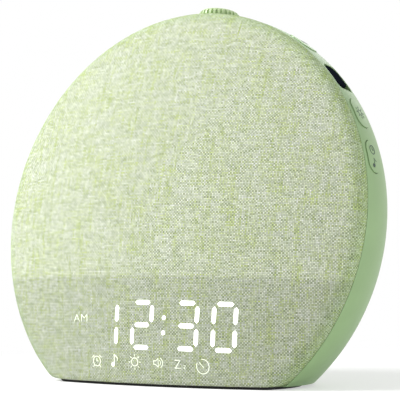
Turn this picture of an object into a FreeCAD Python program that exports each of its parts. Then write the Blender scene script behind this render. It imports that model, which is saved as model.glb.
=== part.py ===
import FreeCAD, Part
import os
import Sketcher

# Sunrise alarm clock: a fabric-faced dome and a moulded bowl, cut flat underneath and
# leaning back. Millimetres and degrees. The pieces are drawn in the frame of the round rim:
# x to the right, y up in the rim's plane, z out of the front. DISC then leans that frame back
# and stands it on the ground, where +Y is behind the clock and +Z is up.

SIZES = [
    # The outer form
    ("rim_radius", 88, "edge of the fabric front"),
    ("front_bulge", 19, "dome's pole ahead of the rim"),
    ("edge_round", 5, "rounding where the dome meets the rim"),
    ("rim_swell", 0.5, "how much wider than the rim the housing grows"),
    ("swell_depth", 7, "where the housing is widest, behind the rim"),
    ("side_round", 35, "rounding from the housing's side to its flat back"),
    ("lean_angle", 11.1, "how far the rim leans back"),
    ("centre_height", 65.53, "rim's centre above the underside"),
    ("centre_ahead", 4.18, "rim's centre ahead of the foot's middle"),
    ("foot_thickness", 1.2, "rubber foot"),
    ("foot_inset", 2.5, "foot inside the outer form"),
    # Walls and the joint between the two halves
    ("fabric_thickness", 0.8, "woven skin with its backing"),
    ("shell_wall", 2.2, "opal front shell"),
    ("housing_wall", 2.4, "rear housing"),
    ("seam_gap", 0.3, "shadow line between fabric and housing"),
    ("fit_gap", 0.2, "gap between pieces that plug together"),
    ("tongue_wall", 1.6, "ring that centres the front shell"),
    ("tongue_reach", 1.6, "ring ahead of the rim plane"),
    ("tongue_root", 5, "ring's root behind the joint"),
    # Screws through the housing into the front shell
    ("upper_screw_angle", 45, "upper pair, each way from the top"),
    ("lower_screw_angle", 119.5, "lower pair, each way from the top"),
    ("post_radius", 4, "screw posts"),
    ("post_gap", 1.3, "between a post and the rail of the controls"),
    ("screw_radius", 1.45, "thread"),
    ("screw_gap", 0.25, "round a screw's thread and head"),
    ("head_radius", 2.8, "screw head"),
    ("head_height", 2, "screw head"),
    ("screw_seat", 28, "head's seat behind the rim plane"),
    ("screw_bite", 5, "thread ahead of the rim plane"),
    # White tray behind the dome, with the two boards on it
    ("tray_thickness", 2, "plate"),
    ("tray_gap", 0.3, "plate inside the tongue"),
    ("partition_level", 25, "light wall above the display, below the centre"),
    ("partition_wall", 1.6, "light wall"),
    ("board_thickness", 1.6, "all rigid circuit boards"),
    ("light_board_radius", 62, "round edge of the light board"),
    ("light_board_level", 20, "straight lower edge, below the centre"),
    ("light_screw_x", 45, "lower pair of the light board's screws from the middle"),
    ("light_screw_level", 10, "lower pair below the centre"),
    ("led_length", 3.5, "light-emitting chip"),
    ("led_width", 2.8, "light-emitting chip"),
    ("led_height", 1.2, "light-emitting chip"),
    ("led_ring_inner", 18, "first arc of chips"),
    ("led_ring_step", 18, "from one arc of chips to the next"),
    # Display behind the lower front
    ("window_width", 93, "clear window in the front shell"),
    ("window_height", 30.2, "clear window in the front shell"),
    ("window_corner", 6, "rounding of its corners"),
    ("window_level", 48.6, "window's middle below the centre"),
    ("display_gap", 0.4, "between the mask's face and the shell"),
    ("mask_margin", 0.7, "mask inside the window"),
    ("mask_foot", 2.4, "room for the chips under the light guides"),
    ("digit_height", 17.8, "between the end strokes' middles"),
    ("digit_width", 9.4, "between a digit's two columns"),
    ("digit_stroke", 2.4, "width of a stroke"),
    ("stroke_gap", 1.8, "between neighbouring strokes' ends"),
    ("digit_pitch", 17.1, "from digit to digit"),
    ("colon_space", 4.5, "extra room for the colon"),
    ("digit_slant", 4.6, "lean of the digits"),
    ("digit_level", 45.4, "digits' middle below the centre"),
    ("first_column", -20.3, "middle of the first digit"),
    ("guide_gap", 0.1, "round a light guide in the mask"),
    ("symbol_level", 60.2, "row of symbols below the centre"),
    ("symbol_first", -27.3, "first symbol"),
    ("symbol_pitch", 10.6, "from symbol to symbol"),
    ("symbol_radius", 2.1, "round hole behind a symbol"),
    ("half_day_x", 36.3, "morning sign, left of the middle"),
    ("half_day_level", 43.1, "morning sign below the centre"),
    ("half_day_width", 8.6, "hole behind the morning sign"),
    ("half_day_height", 4.2, "hole behind the morning sign"),
    # Buttons and slide switch on the right rim
    ("control_depth", 7.2, "middle of the buttons behind the rim plane"),
    ("upper_angle", 33.3, "upper button, clockwise from the top"),
    ("slide_angle", 48.6, "slide switch's recess"),
    ("middle_angle", 60.7, "middle button"),
    ("lower_angle", 73.3, "lower button"),
    ("button_length", 13.6, "along the rim"),
    ("button_width", 8, "across the rim"),
    ("button_proud", 0.35, "cap above the housing"),
    ("button_gap", 0.25, "round a cap"),
    ("button_travel", 0.6, "press"),
    ("flange_drop", 1.1, "flange below the wall"),
    ("flange_thickness", 1.2, "flange that keeps the cap in"),
    ("flange_lip", 0.7, "flange wider than the cap"),
    ("stem_radius", 2, "cap's stem"),
    ("stem_length", 0.8, "cap's stem"),
    ("tact_width", 6.2, "push switch"),
    ("tact_height", 3.5, "push switch"),
    ("tact_plunger_radius", 1.75, "push switch's plunger"),
    ("tact_plunger_out", 1.2, "plunger above the switch"),
    ("tact_plunger_in", 1.3, "plunger inside the switch"),
    ("strip_thickness", 0.3, "flexible circuit strip"),
    ("rail_thickness", 2, "rail behind the strip"),
    ("rail_start", 25.5, "rail's upper end, clockwise from the top"),
    ("rail_end", 81, "rail's lower end"),
    ("web_thickness", 1.6, "rail's web"),
    ("ledge_thickness", 2, "ledge in the housing under the web"),
    ("recess_length", 14.4, "finger recess along the rim"),
    ("recess_width", 10.4, "finger recess across the rim"),
    ("recess_depth", 3, "recess floor under the widest form"),
    ("recess_corner", 2.6, "rounding of the recess's corners"),
    ("recess_wall", 1.5, "pan round the recess"),
    ("slide_length", 11, "slide cap along the rim"),
    ("slide_drop", 0.3, "cap's top under the housing's surface"),
    ("slide_corner", 3.8, "rounding of the cap's corners"),
    ("slide_gap", 0.4, "cap in the recess"),
    ("slide_travel", 2.6, "from its rest at the recess's upper end"),
    ("slide_neck", 3, "cap's neck along the rim"),
    ("slide_neck_width", 2.4, "cap's neck across the rim"),
    ("slide_switch_length", 9.6, "switch body"),
    ("slide_switch_width", 5, "switch body"),
    # Knob and its encoder, standing on the top of the rim
    ("knob_depth", 15.2, "knob's axis behind the rim plane"),
    ("knob_radius", 8.9, "knob"),
    ("knob_height", 4.7, "knob"),
    ("knob_round", 2.6, "rounding of its top edge"),
    ("knob_travel", 0.5, "press"),
    ("knob_roof", 1.7, "wall over the shaft"),
    ("knob_relief", 1.1, "hollow in its underside"),
    ("rib_count", 28, "ribs round the knob"),
    ("rib_depth", 0.9, "grooves between the ribs"),
    ("groove_mouth", 1.15, "width of a groove at the knob's side"),
    ("groove_floor", 0.5, "width of a groove's floor"),
    ("collar_drop", 0.7, "collar's top under the widest form"),
    ("collar_gap", 0.5, "collar wider than the knob"),
    ("collar_height", 5.8, "collar"),
    ("nut_well_radius", 6.4, "well in the collar for the nut"),
    ("nut_well_depth", 3, "well in the collar for the nut"),
    ("bushing_radius", 3.5, "encoder's threaded bushing"),
    ("bushing_rise", 5.9, "bushing above the encoder's case"),
    ("shaft_radius", 3, "encoder shaft"),
    ("shaft_gap", 0.05, "shaft in its bushing"),
    ("washer_thickness", 0.5, "under the nut"),
    ("washer_radius", 5.6, "under the nut"),
    ("nut_radius", 5.6, "across the nut's corners"),
    ("nut_height", 2, "nut"),
    ("encoder_width", 12, "case"),
    ("encoder_height", 6.5, "case"),
    ("shaft_depth", 4, "shaft inside the case"),
    ("plunger_radius", 2.5, "press plunger under the shaft"),
    ("plunger_height", 1.2, "press plunger under the shaft"),
    ("encoder_board_width", 17, "small board under the encoder"),
    # Speaker on the flat back
    ("speaker_level", 17, "above the centre"),
    ("speaker_radius", 22.5, "frame"),
    ("gasket_thickness", 1, "foam ring"),
    ("speaker_flange", 1.2, "frame's flange"),
    ("speaker_lip", 2.7, "flange and gasket ring, across"),
    ("basket_depth", 12, "frame behind its flange"),
    ("basket_radius", 13, "frame's small end"),
    ("magnet_height", 7, "magnet"),
    ("magnet_radius", 14, "magnet"),
    ("speaker_boss", 2.2, "bosses round the speaker"),
    ("speaker_screw_length", 3.6, "screws beside the flange"),
    ("speaker_head", 3.4, "screw heads, which hold the flange by its edge"),
    ("coil_radius", 6, "voice coil"),
    ("coil_gap", 0.6, "each side of the voice coil"),
    ("cone_thickness", 0.5, "cone and surround"),
    ("surround_width", 2.7, "soft ring round the cone"),
    ("cone_travel", 0.6, "each way"),
    ("grille_radius", 18, "field of slots"),
    ("slot_width", 2, "one slot"),
    ("slot_pitch", 4, "from slot to slot"),
    # Power inlet and battery on the flat back
    ("inlet_margin", 9.5, "middle inside the lower edge of the flat back"),
    ("inlet_radius", 4, "barrel"),
    ("inlet_flange_radius", 5.5, "flange"),
    ("inlet_flange", 1.2, "flange, let into the back"),
    ("inlet_length", 12, "barrel"),
    ("inlet_bore", 2.8, "where the plug goes"),
    ("inlet_bore_depth", 9, "where the plug goes"),
    ("inlet_pin_radius", 1, "centre contact"),
    ("inlet_nut_height", 2, "nut inside"),
    ("battery_x", 24, "cell's middle, left of the middle as seen from the front"),
    ("battery_level", 17.5, "cell's middle below the centre"),
    ("door_width", 26, "battery door"),
    ("door_strip", 6, "battery door's extra length below, for its screw"),
    ("door_thickness", 1.4, "battery door"),
    ("door_ledge", 2.5, "ledge under the door"),
    ("holder_wall", 1.2, "holder round the cell"),
    ("cell_radius", 10, "coin cell"),
    ("cell_height", 3.2, "coin cell"),
    ("door_boss", 4, "boss for the door's screw"),
    # Main board behind the tray
    ("main_board_width", 84, "board"),
    ("main_board_height", 44, "board"),
    ("main_board_level", 14, "board's middle below the centre"),
    ("main_board_standoff", 6, "bosses on the tray"),
    ("boss_radius", 3, "bosses for small screws"),
    ("boss_inset", 4, "bosses from the board's edges"),
    ("small_screw_radius", 1, "board and bracket screws"),
    ("small_screw_length", 5, "board and bracket screws"),
    ("bracket_screw_inset", 3, "bracket's screws from its ends, in degrees round the rim"),
    ("small_head_radius", 1.9, "board and bracket screws"),
    ("small_head_height", 1.3, "board and bracket screws"),
]

doc = FreeCAD.newDocument("SunriseAlarmClock")
sheet = doc.addObject("Spreadsheet::Sheet", "Sizes")
for row, (alias, amount, note) in enumerate(SIZES, start=1):
    sheet.set(f"A{row}", alias)
    sheet.set(f"B{row}", str(amount))
    sheet.set(f"C{row}", note)
    sheet.setAlias(f"B{row}", alias)
doc.recompute()

# Lengths that follow from the sizes. Depths behind the rim plane are negative here,
# and levels below the centre too, so that they can be used as coordinates.
FORM = [
    ("lean_cos", "cos(Sizes.lean_angle)"),
    ("lean_sin", "sin(Sizes.lean_angle)"),
    ("edge_run", "Sizes.rim_radius - Sizes.edge_round"),
    ("dome_radius", "(Form.edge_run ^ 2 + Sizes.front_bulge ^ 2 - Sizes.edge_round ^ 2)"
                    " / (2 * (Sizes.front_bulge - Sizes.edge_round))"),
    ("dome_centre", "Sizes.front_bulge - Form.dome_radius"),
    ("edge_reach", "Form.dome_radius - Sizes.edge_round"),
    ("swell_radius", "Sizes.rim_radius + Sizes.rim_swell"),
    ("side_centre", "Form.swell_radius - Sizes.side_round"),
    ("back_face", "-(Sizes.swell_depth + Sizes.side_round)"),
    ("back_inside", "Form.back_face + Sizes.housing_wall"),
    ("housing_front", "-(Sizes.fabric_thickness + Sizes.seam_gap)"),
    ("shell_inset", "Sizes.fabric_thickness + Sizes.shell_wall"),
    ("shell_inner_radius", "Sizes.rim_radius - Form.shell_inset"),
    ("tongue_outer", "Form.edge_run - Sizes.fit_gap"
                     " + sqrt((Sizes.edge_round - Form.shell_inset) ^ 2 - Sizes.tongue_reach ^ 2)"),
    ("tongue_inner", "Form.tongue_outer - Sizes.tongue_wall"),
    ("tongue_floor", "Form.shell_inset + Sizes.fit_gap"),
    ("tray_radius", "Form.tongue_inner - Sizes.tray_gap"),
    ("tray_floor", "Form.tongue_floor + Sizes.tray_gap"),
    ("tray_back", "-Sizes.tray_thickness"),
    ("board_face", "Sizes.board_thickness"),
    ("window_y", "-Sizes.window_level"),
    ("digit_y", "-Sizes.digit_level"),
    ("symbol_y", "-Sizes.symbol_level"),
    ("stem_end", "-(Sizes.housing_wall + Sizes.flange_drop + Sizes.flange_thickness"
                 " + Sizes.stem_length)"),
    ("tact_face", "Form.stem_end - Sizes.tact_plunger_out"),
    ("strip_face", "Form.tact_face - Sizes.tact_height"),
    ("strip_radius", "Form.swell_radius + Form.strip_face"),
    ("rail_radius", "Form.strip_radius - Sizes.strip_thickness"),
    ("rail_inner", "Form.rail_radius - Sizes.rail_thickness"),
    ("post_ring", "Form.rail_inner - Sizes.post_gap - Sizes.post_radius"),
    ("rail_half", "Sizes.button_width / 2 + Sizes.flange_lip + Sizes.tray_gap"),
    ("rail_front", "-(Sizes.control_depth - Form.rail_half)"),
    ("rail_back", "-(Sizes.control_depth + Form.rail_half)"),
    ("web_back", "Form.rail_back - Sizes.web_thickness"),
    ("pan_bottom", "-(Sizes.recess_depth + Sizes.recess_wall)"),
    ("web_radius", "Form.swell_radius + Form.pan_bottom - Sizes.tray_gap"),
    ("rail_span", "Sizes.rail_end - Sizes.rail_start"),
    ("bracket_screw_radius", "(Form.rail_radius + Form.web_radius) / 2"),
    ("collar_top", "-Sizes.collar_drop"),
    ("collar_bottom", "Form.collar_top - Sizes.collar_height"),
    ("well_floor", "Form.collar_top - Sizes.nut_well_depth"),
    ("knob_bottom", "Form.collar_top + Sizes.knob_travel + Sizes.tray_gap"),
    ("knob_top", "Form.knob_bottom + Sizes.knob_height"),
    ("encoder_bottom", "Form.collar_bottom - Sizes.encoder_height"),
    ("shaft_bottom", "Form.collar_bottom - Sizes.shaft_depth"),
    ("shaft_top", "Form.knob_top - Sizes.knob_roof"),
    ("plunger_bottom", "Form.shaft_bottom - Sizes.plunger_height"),
    ("flange_back", "Form.back_inside + Sizes.gasket_thickness"),
    ("flange_front", "Form.flange_back + Sizes.speaker_flange"),
    ("ring_inner", "Sizes.speaker_radius - Sizes.speaker_lip"),
    ("basket_front", "Form.flange_back + Sizes.basket_depth"),
    ("magnet_front", "Form.basket_front + Sizes.magnet_height"),
    ("cone_radius", "Form.ring_inner - Sizes.tray_gap - Sizes.surround_width"),
    ("cone_back", "Form.back_inside + Sizes.cone_travel + 2 * Sizes.tray_gap"),
    ("cone_small", "Form.basket_front - 4 * Sizes.speaker_flange"),
    ("inlet_y", "Sizes.inlet_margin - Form.side_centre"),
    ("door_y", "-(Sizes.battery_level + Sizes.door_strip / 2)"),
    ("door_screw_y", "-(Sizes.battery_level + (Sizes.door_width - Sizes.door_ledge + Sizes.door_strip) / 2)"),
    ("main_board_front", "Form.tray_back - Sizes.main_board_standoff"),
    ("main_board_back", "Form.main_board_front - Sizes.board_thickness"),
    ("disc_y", "-Sizes.centre_ahead"),
    ("disc_z", "Sizes.centre_height + Sizes.foot_thickness"),
]
form = doc.addObject("App::VarSet", "Form")
for alias, rule in FORM:
    form.addProperty("App::PropertyFloat", alias)
    form.setExpression(alias, rule)
    doc.recompute()

DISC = ("placement(vector(0; Form.disc_y; Form.disc_z);"
        " rotation(vector(1; 0; 0); 90 - Sizes.lean_angle))")

# The frame in which the controls' rail is turned, from its lower end up
RAIL_START = "placement(vector(0; 0; 0); rotation(vector(0; 0; 1); 90 - Sizes.rail_end))"

frames = {}
nodes = []


def number(rule):
    """The value of a size rule now."""
    result = form.evalExpression(rule)
    return float(getattr(result, "Value", result))


def at(x, y, z):
    """A placement rule for a plain shift."""
    return f"placement(vector({x}; {y}; {z}); rotation(vector(0; 0; 1); 0))"


def rim(angle, depth):
    """A frame on the rim: x clockwise along it, y to the back, z outwards."""
    turn = f"placement(vector(0; 0; -({depth})); rotation(vector(0; 0; 1); -({angle})))"
    stand = "placement(vector(0; Form.swell_radius; 0); rotation(vector(1; 0; 0); -90))"
    return f"{turn} * {stand}"


def place(item, frame):
    """Keep an item's place in the rim's frame by a rule."""
    frames[item.Name] = frame
    if frame:
        item.setExpression("Placement", frame)
    return item


def node(item, name):
    """Name a finished piece and lean it back with the clock."""
    frame = frames.get(item.Name, "")
    item.setExpression("Placement", f"{DISC} * {frame}" if frame else DISC)
    item.Label = name
    nodes.append(item)
    return item


def new_body(name, frame=""):
    body = doc.addObject("PartDesign::Body", name)
    body.AllowCompound = True
    return place(body, frame)


def new_sketch(body, role, height=""):
    """A sketch on one of the body's own planes, raised by height."""
    sketch = body.newObject("Sketcher::SketchObject", f"{body.Name}_sketch")
    plane = [item for item in body.Origin.OriginFeatures if item.Role == role][0]
    sketch.AttachmentSupport = (plane, [""])
    sketch.MapMode = "FlatFace"
    if height:
        sketch.setExpression("AttachmentOffset.Base.z", height)
    return sketch


def tie(sketch, kind, where, rule):
    """A constraint whose value follows a rule."""
    index = sketch.addConstraint(Sketcher.Constraint(kind, *where, number(rule)))
    label = f"{kind}_{index}"
    sketch.renameConstraint(index, label)
    sketch.setExpression(f"Constraints.{label}", rule)


def draw(sketch, corners, arcs=None):
    """A closed outline. arcs gives an edge's radius rule and 1 for a left turn or -1."""
    arcs = arcs or {}
    points = [FreeCAD.Vector(number(x), number(y), 0) for x, y in corners]
    starts = []
    ends = []
    for index, point in enumerate(points):
        following = points[(index + 1) % len(points)]
        if index in arcs:
            rule, turn = arcs[index]
            radius = number(rule)
            chord = following - point
            rise = (radius ** 2 - chord.Length ** 2 / 4) ** 0.5
            side = FreeCAD.Vector(chord.y, -chord.x, 0).normalize() * turn
            bulge = (point + following) * 0.5 + side * (radius - rise)
            edge = sketch.addGeometry(Part.Arc(point, bulge, following))
            forward = sketch.getPoint(edge, 1).distanceToPoint(point) < 1e-6
            tie(sketch, "Radius", (edge,), rule)
        else:
            edge = sketch.addGeometry(Part.LineSegment(point, following))
            forward = True
        starts.append((edge, 1 if forward else 2))
        ends.append((edge, 2 if forward else 1))
    for index, (x, y) in enumerate(corners):
        sketch.addConstraint(Sketcher.Constraint("Coincident", *ends[index - 1], *starts[index]))
        tie(sketch, "DistanceX", starts[index], x)
        tie(sketch, "DistanceY", starts[index], y)


def draw_circle(sketch, x, y, radius):
    centre = FreeCAD.Vector(number(x), number(y), 0)
    edge = sketch.addGeometry(Part.Circle(centre, FreeCAD.Vector(0, 0, 1), number(radius)))
    tie(sketch, "DistanceX", (edge, 3), x)
    tie(sketch, "DistanceY", (edge, 3), y)
    tie(sketch, "Radius", (edge,), radius)


def draw_box(sketch, x, y, width, height):
    """A rectangle about its middle."""
    left, right = f"{x} - ({width}) / 2", f"{x} + ({width}) / 2"
    low, high = f"{y} - ({height}) / 2", f"{y} + ({height}) / 2"
    draw(sketch, [(left, low), (right, low), (right, high), (left, high)])


def draw_rounded(sketch, x, y, width, height, radius):
    """A rectangle about its middle with round corners."""
    left, right = f"{x} - ({width}) / 2", f"{x} + ({width}) / 2"
    low, high = f"{y} - ({height}) / 2", f"{y} + ({height}) / 2"
    corners = [
        (f"{left} + {radius}", low), (f"{right} - {radius}", low),
        (right, f"{low} + {radius}"), (right, f"{high} - {radius}"),
        (f"{right} - {radius}", high), (f"{left} + {radius}", high),
        (left, f"{high} - {radius}"), (left, f"{low} + {radius}"),
    ]
    draw(sketch, corners, {index: (radius, 1) for index in (1, 3, 5, 7)})


def draw_pill(sketch, x, y, length, width):
    """A slot along x with round ends, about its middle."""
    radius = f"({width}) / 2"
    reach = f"(({length}) - ({width})) / 2"
    centres = [f"{x} - {reach}", f"{x} + {reach}"]
    left = FreeCAD.Vector(number(centres[0]), number(y), 0)
    right = FreeCAD.Vector(number(centres[1]), number(y), 0)
    up = FreeCAD.Vector(0, number(radius), 0)
    out = FreeCAD.Vector(number(radius), 0, 0)
    ends = [
        sketch.addGeometry(Part.Arc(left + up, left - out, left - up)),
        sketch.addGeometry(Part.Arc(right - up, right + out, right + up)),
    ]
    low = sketch.addGeometry(Part.LineSegment(left - up, right - up))
    high = sketch.addGeometry(Part.LineSegment(right + up, left + up))
    joints = [(ends[0], 2, low, 1), (low, 2, ends[1], 1), (ends[1], 2, high, 1), (high, 2, ends[0], 1)]
    for joint in joints:
        sketch.addConstraint(Sketcher.Constraint("Tangent", *joint))
    for edge, centre in zip(ends, centres):
        tie(sketch, "DistanceX", (edge, 3), centre)
        tie(sketch, "DistanceY", (edge, 3), y)
        tie(sketch, "Radius", (edge,), radius)


def revolve(body, sketch, angle="360"):
    feature = body.newObject("PartDesign::Revolution", f"{body.Name}_turned")
    feature.Profile = sketch
    feature.ReferenceAxis = (sketch, ["V_Axis"])
    feature.setExpression("Angle", angle)
    return feature


def pad(body, sketch, length):
    feature = body.newObject("PartDesign::Pad", f"{body.Name}_pad")
    feature.Profile = sketch
    feature.setExpression("Length", length)
    return feature


def through(body, sketch):
    """Cut a sketch through the whole body, both ways."""
    feature = body.newObject("PartDesign::Pocket", f"{body.Name}_cut")
    feature.Profile = sketch
    feature.Type = "ThroughAll"
    feature.SideType = "Symmetric"
    return feature


def turned(name, corners, arcs=None, frame="", angle="360"):
    """A solid turned about z from a profile of radius and height."""
    body = new_body(name, frame)
    sketch = new_sketch(body, "XZ_Plane")
    draw(sketch, corners, arcs)
    revolve(body, sketch, angle)
    return body


def prism(name, drawing, low, high, frame=""):
    """A solid between two heights, with drawing(sketch) as its outline."""
    body = new_body(name, frame)
    sketch = new_sketch(body, "XY_Plane", low)
    drawing(sketch)
    pad(body, sketch, f"({high}) - ({low})")
    return body


def rod(name, radius, x, y, low, high, frame=""):
    item = doc.addObject("Part::Cylinder", name)
    item.setExpression("Radius", radius)
    item.setExpression("Height", f"({high}) - ({low})")
    shift = at(x, y, low)
    return place(item, f"{frame} * {shift}" if frame else shift)


def block(name, x, y, z, frame=""):
    """A box between pairs of coordinates."""
    item = doc.addObject("Part::Box", name)
    item.setExpression("Length", f"({x[1]}) - ({x[0]})")
    item.setExpression("Width", f"({y[1]}) - ({y[0]})")
    item.setExpression("Height", f"({z[1]}) - ({z[0]})")
    shift = at(x[0], y[0], z[0])
    return place(item, f"{frame} * {shift}" if frame else shift)


def about(middle, width):
    """The two coordinates of a width about its middle."""
    return f"{middle} - ({width}) / 2", f"{middle} + ({width}) / 2"


def cut(name, base, *tools):
    item = doc.addObject("Part::Cut", name)
    item.Base = base
    item.Tool = tools[0] if len(tools) == 1 else fuse(f"{name}_tools", *tools)
    return item


def fuse(name, *parts):
    item = doc.addObject("Part::MultiFuse", name)
    item.Shapes = list(parts)
    return item


def common(name, base, tool):
    item = doc.addObject("Part::Common", name)
    item.Base = base
    item.Tool = tool
    return item


def group(name, parts):
    """Separate solids that share a node."""
    item = doc.addObject("Part::Compound", name)
    item.Links = list(parts)
    return item


def ground_y(floor, z):
    """Where the plane at a height floor above the underside crosses depth z."""
    return f"((({floor}) - Sizes.centre_height - ({z}) * Form.lean_sin) / Form.lean_cos)"


def cut_ground(body, floor):
    """Take away what lies lower than floor above the underside."""
    far = "2 * Sizes.rim_radius"
    sketch = new_sketch(body, "YZ_Plane")
    corners = [
        (ground_y(floor, far), far), (f"-2 * ({far})", far),
        (f"-2 * ({far})", f"-{far}"), (ground_y(floor, f"-{far}"), f"-{far}"),
    ]
    draw(sketch, corners)
    through(body, sketch)


def front_form(name, inset, floor, back=""):
    """The fabric front's outer form, inset all over, cut at floor and closed at back."""
    side = f"Sizes.rim_radius - ({inset})"
    edge = f"(Sizes.edge_round - ({inset}))"
    corners = [("0", back or "0"), (side, back or "0")]
    if back:
        corners.append((side, "0"))
    corners += [
        (f"Form.edge_run + {edge} * Form.edge_run / Form.edge_reach",
         f"{edge} * -Form.dome_centre / Form.edge_reach"),
        ("0", f"Sizes.front_bulge - ({inset})"),
    ]
    first = len(corners) - 3
    arcs = {first: (edge, 1), first + 1: (f"Form.dome_radius - ({inset})", 1)}
    body = turned(name, corners, arcs)
    cut_ground(body, floor)
    return body


def rear_form(name, inset, floor, front):
    """The housing's outer form, inset all over, cut at floor and open at front."""
    round_radius = f"(Sizes.side_round - ({inset}))"
    corners = [
        ("0", front),
        (f"Form.side_centre + sqrt({round_radius} ^ 2 - ({front} + Sizes.swell_depth) ^ 2)", front),
        ("Form.side_centre", f"Form.back_face + ({inset})"),
        ("0", f"Form.back_face + ({inset})"),
    ]
    body = turned(name, corners, {1: (round_radius, -1)})
    cut_ground(body, floor)
    return body


def screw_places():
    """The four screws that hold the halves together."""
    for side in (-1, 1):
        for angle in ("Sizes.upper_screw_angle", "Sizes.lower_screw_angle"):
            yield f"{side} * Form.post_ring * sin({angle})", f"Form.post_ring * cos({angle})"


def screw(name, x, y, seat, tip, radius, head_radius, head_height, frame=""):
    """A screw driven towards +z, its head behind seat and its thread up to tip."""
    corners = [
        ("0", f"({seat}) - {head_height}"), (head_radius, f"({seat}) - {head_height}"),
        (head_radius, seat), (radius, seat), (radius, tip), ("0", tip),
    ]
    shift = at(x, y, "0")
    return turned(name, corners, frame=f"{frame} * {shift}" if frame else shift)


# Fabric skin: over the dome, under the flat of the front, and turned in behind the rim
def make_front_fabric():
    outside = front_form("fabric_outside", "0", "0", "-Sizes.fabric_thickness")
    inside = front_form("fabric_inside", "Sizes.fabric_thickness", "Sizes.fabric_thickness")
    mouth = turned("fabric_mouth", [
        ("0", "-2 * Sizes.fabric_thickness"), ("Form.shell_inner_radius", "-2 * Sizes.fabric_thickness"),
        ("Form.shell_inner_radius", "Sizes.fabric_thickness"), ("0", "Sizes.fabric_thickness"),
    ])
    cut_ground(mouth, "Form.shell_inset")
    node(cut("front_fabric_cut", outside, inside, mouth), "front_fabric")


# Opal front shell under the fabric, with screw posts and the display's opening
def make_front_shell():
    outside = front_form("shell_outside", "Sizes.fabric_thickness", "Sizes.fabric_thickness")
    inside = front_form("shell_inside", "Form.shell_inset", "Form.shell_inset")
    opening = prism("window_opening", lambda sketch: draw_rounded(
        sketch, "0", "Form.window_y", "Sizes.window_width",
        "Sizes.window_height", "Sizes.window_corner"), "Sizes.fabric_thickness", "Sizes.front_bulge")
    dome = cut("shell_dome", outside, inside)
    bounds = front_form("post_bounds", "Form.shell_inset - Sizes.shell_wall / 2", "Form.shell_inset")
    posts = []
    pilots = []
    for index, (x, y) in enumerate(screw_places()):
        posts.append(rod(f"front_post_{index}", "Sizes.post_radius", x, y, "0", "Sizes.front_bulge"))
        pilots.append(rod(f"front_pilot_{index}", "Sizes.screw_radius + Sizes.shaft_gap", x, y,
                          "-Sizes.screw_bite", "Sizes.screw_bite + Sizes.fit_gap"))
    trimmed = common("front_posts_trimmed", fuse("front_posts", *posts), bounds)
    body = fuse("shell_with_posts", dome, trimmed)
    node(cut("front_shell_cut", body, opening, *pilots), "front_shell")


# Smoked window that fills the opening, curved like the shell
def make_display_window():
    outside = front_form("window_outside", "Sizes.fabric_thickness", "Sizes.fabric_thickness")
    inside = front_form("window_inside", "Form.shell_inset", "Sizes.fabric_thickness")
    lens = cut("window_skin", outside, inside)
    plug = prism("window_plug", lambda sketch: draw_rounded(
        sketch, "0", "Form.window_y", "Sizes.window_width - Sizes.fit_gap",
        "Sizes.window_height - Sizes.fit_gap", "Sizes.window_corner"),
        "Sizes.fabric_thickness", "Sizes.front_bulge")
    node(common("display_window_cut", lens, plug), "display_window")


def draw_digit(sketch, gap):
    """Seven strokes with pointed ends about a digit's middle, leaning right."""
    lean = "tan(Sizes.digit_slant)"
    half = f"(Sizes.digit_stroke / 2 + {gap})"
    clear = f"(Sizes.stroke_gap / 2 - {gap})"
    middle = "Form.digit_y"

    def corner(x, y):
        return f"Sizes.first_column + {x} + ({y}) * {lean}", f"{middle} + {y}"

    for level in (-1, 0, 1):
        y = f"{level} * Sizes.digit_height / 2"
        tip = f"(Sizes.digit_width / 2 - {clear})"
        flat = f"({tip} - {half})"
        draw(sketch, [
            corner(f"-{tip}", y), corner(f"-{flat}", f"({y} - {half})"),
            corner(flat, f"({y} - {half})"), corner(tip, y),
            corner(flat, f"({y} + {half})"), corner(f"-{flat}", f"({y} + {half})"),
        ])
    for side in (-1, 1):
        for row in (-1, 1):
            x = f"{side} * Sizes.digit_width / 2"
            tip = f"(Sizes.digit_height / 4 - {clear})"
            flat = f"({tip} - {half})"
            base = f"{row} * Sizes.digit_height / 4"
            draw(sketch, [
                corner(x, f"({base} - {tip})"), corner(f"({x} + {half})", f"({base} - {flat})"),
                corner(f"({x} + {half})", f"({base} + {flat})"), corner(x, f"({base} + {tip})"),
                corner(f"({x} - {half})", f"({base} + {flat})"),
                corner(f"({x} - {half})", f"({base} - {flat})"),
            ])


def four_digits(name, gap, low, high):
    """A solid for every stroke of the four digits, the colon's space left between."""
    body = new_body(name)
    sketch = new_sketch(body, "XY_Plane", low)
    draw_digit(sketch, gap)
    first = pad(body, sketch, f"({high}) - ({low})")
    doc.recompute()
    pattern = body.newObject("PartDesign::MultiTransform", f"{name}_places")
    pattern.Originals = [first]
    steps = []
    for index, length in enumerate(("Sizes.digit_pitch", "2 * Sizes.digit_pitch + Sizes.colon_space")):
        step = body.newObject("PartDesign::LinearPattern", f"{name}_step_{index}")
        step.Direction = (sketch, ["H_Axis"])
        step.Occurrences = 2
        step.setExpression("Length", length)
        steps.append(step)
    pattern.Transformations = steps
    body.Tip = pattern
    return body


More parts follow.
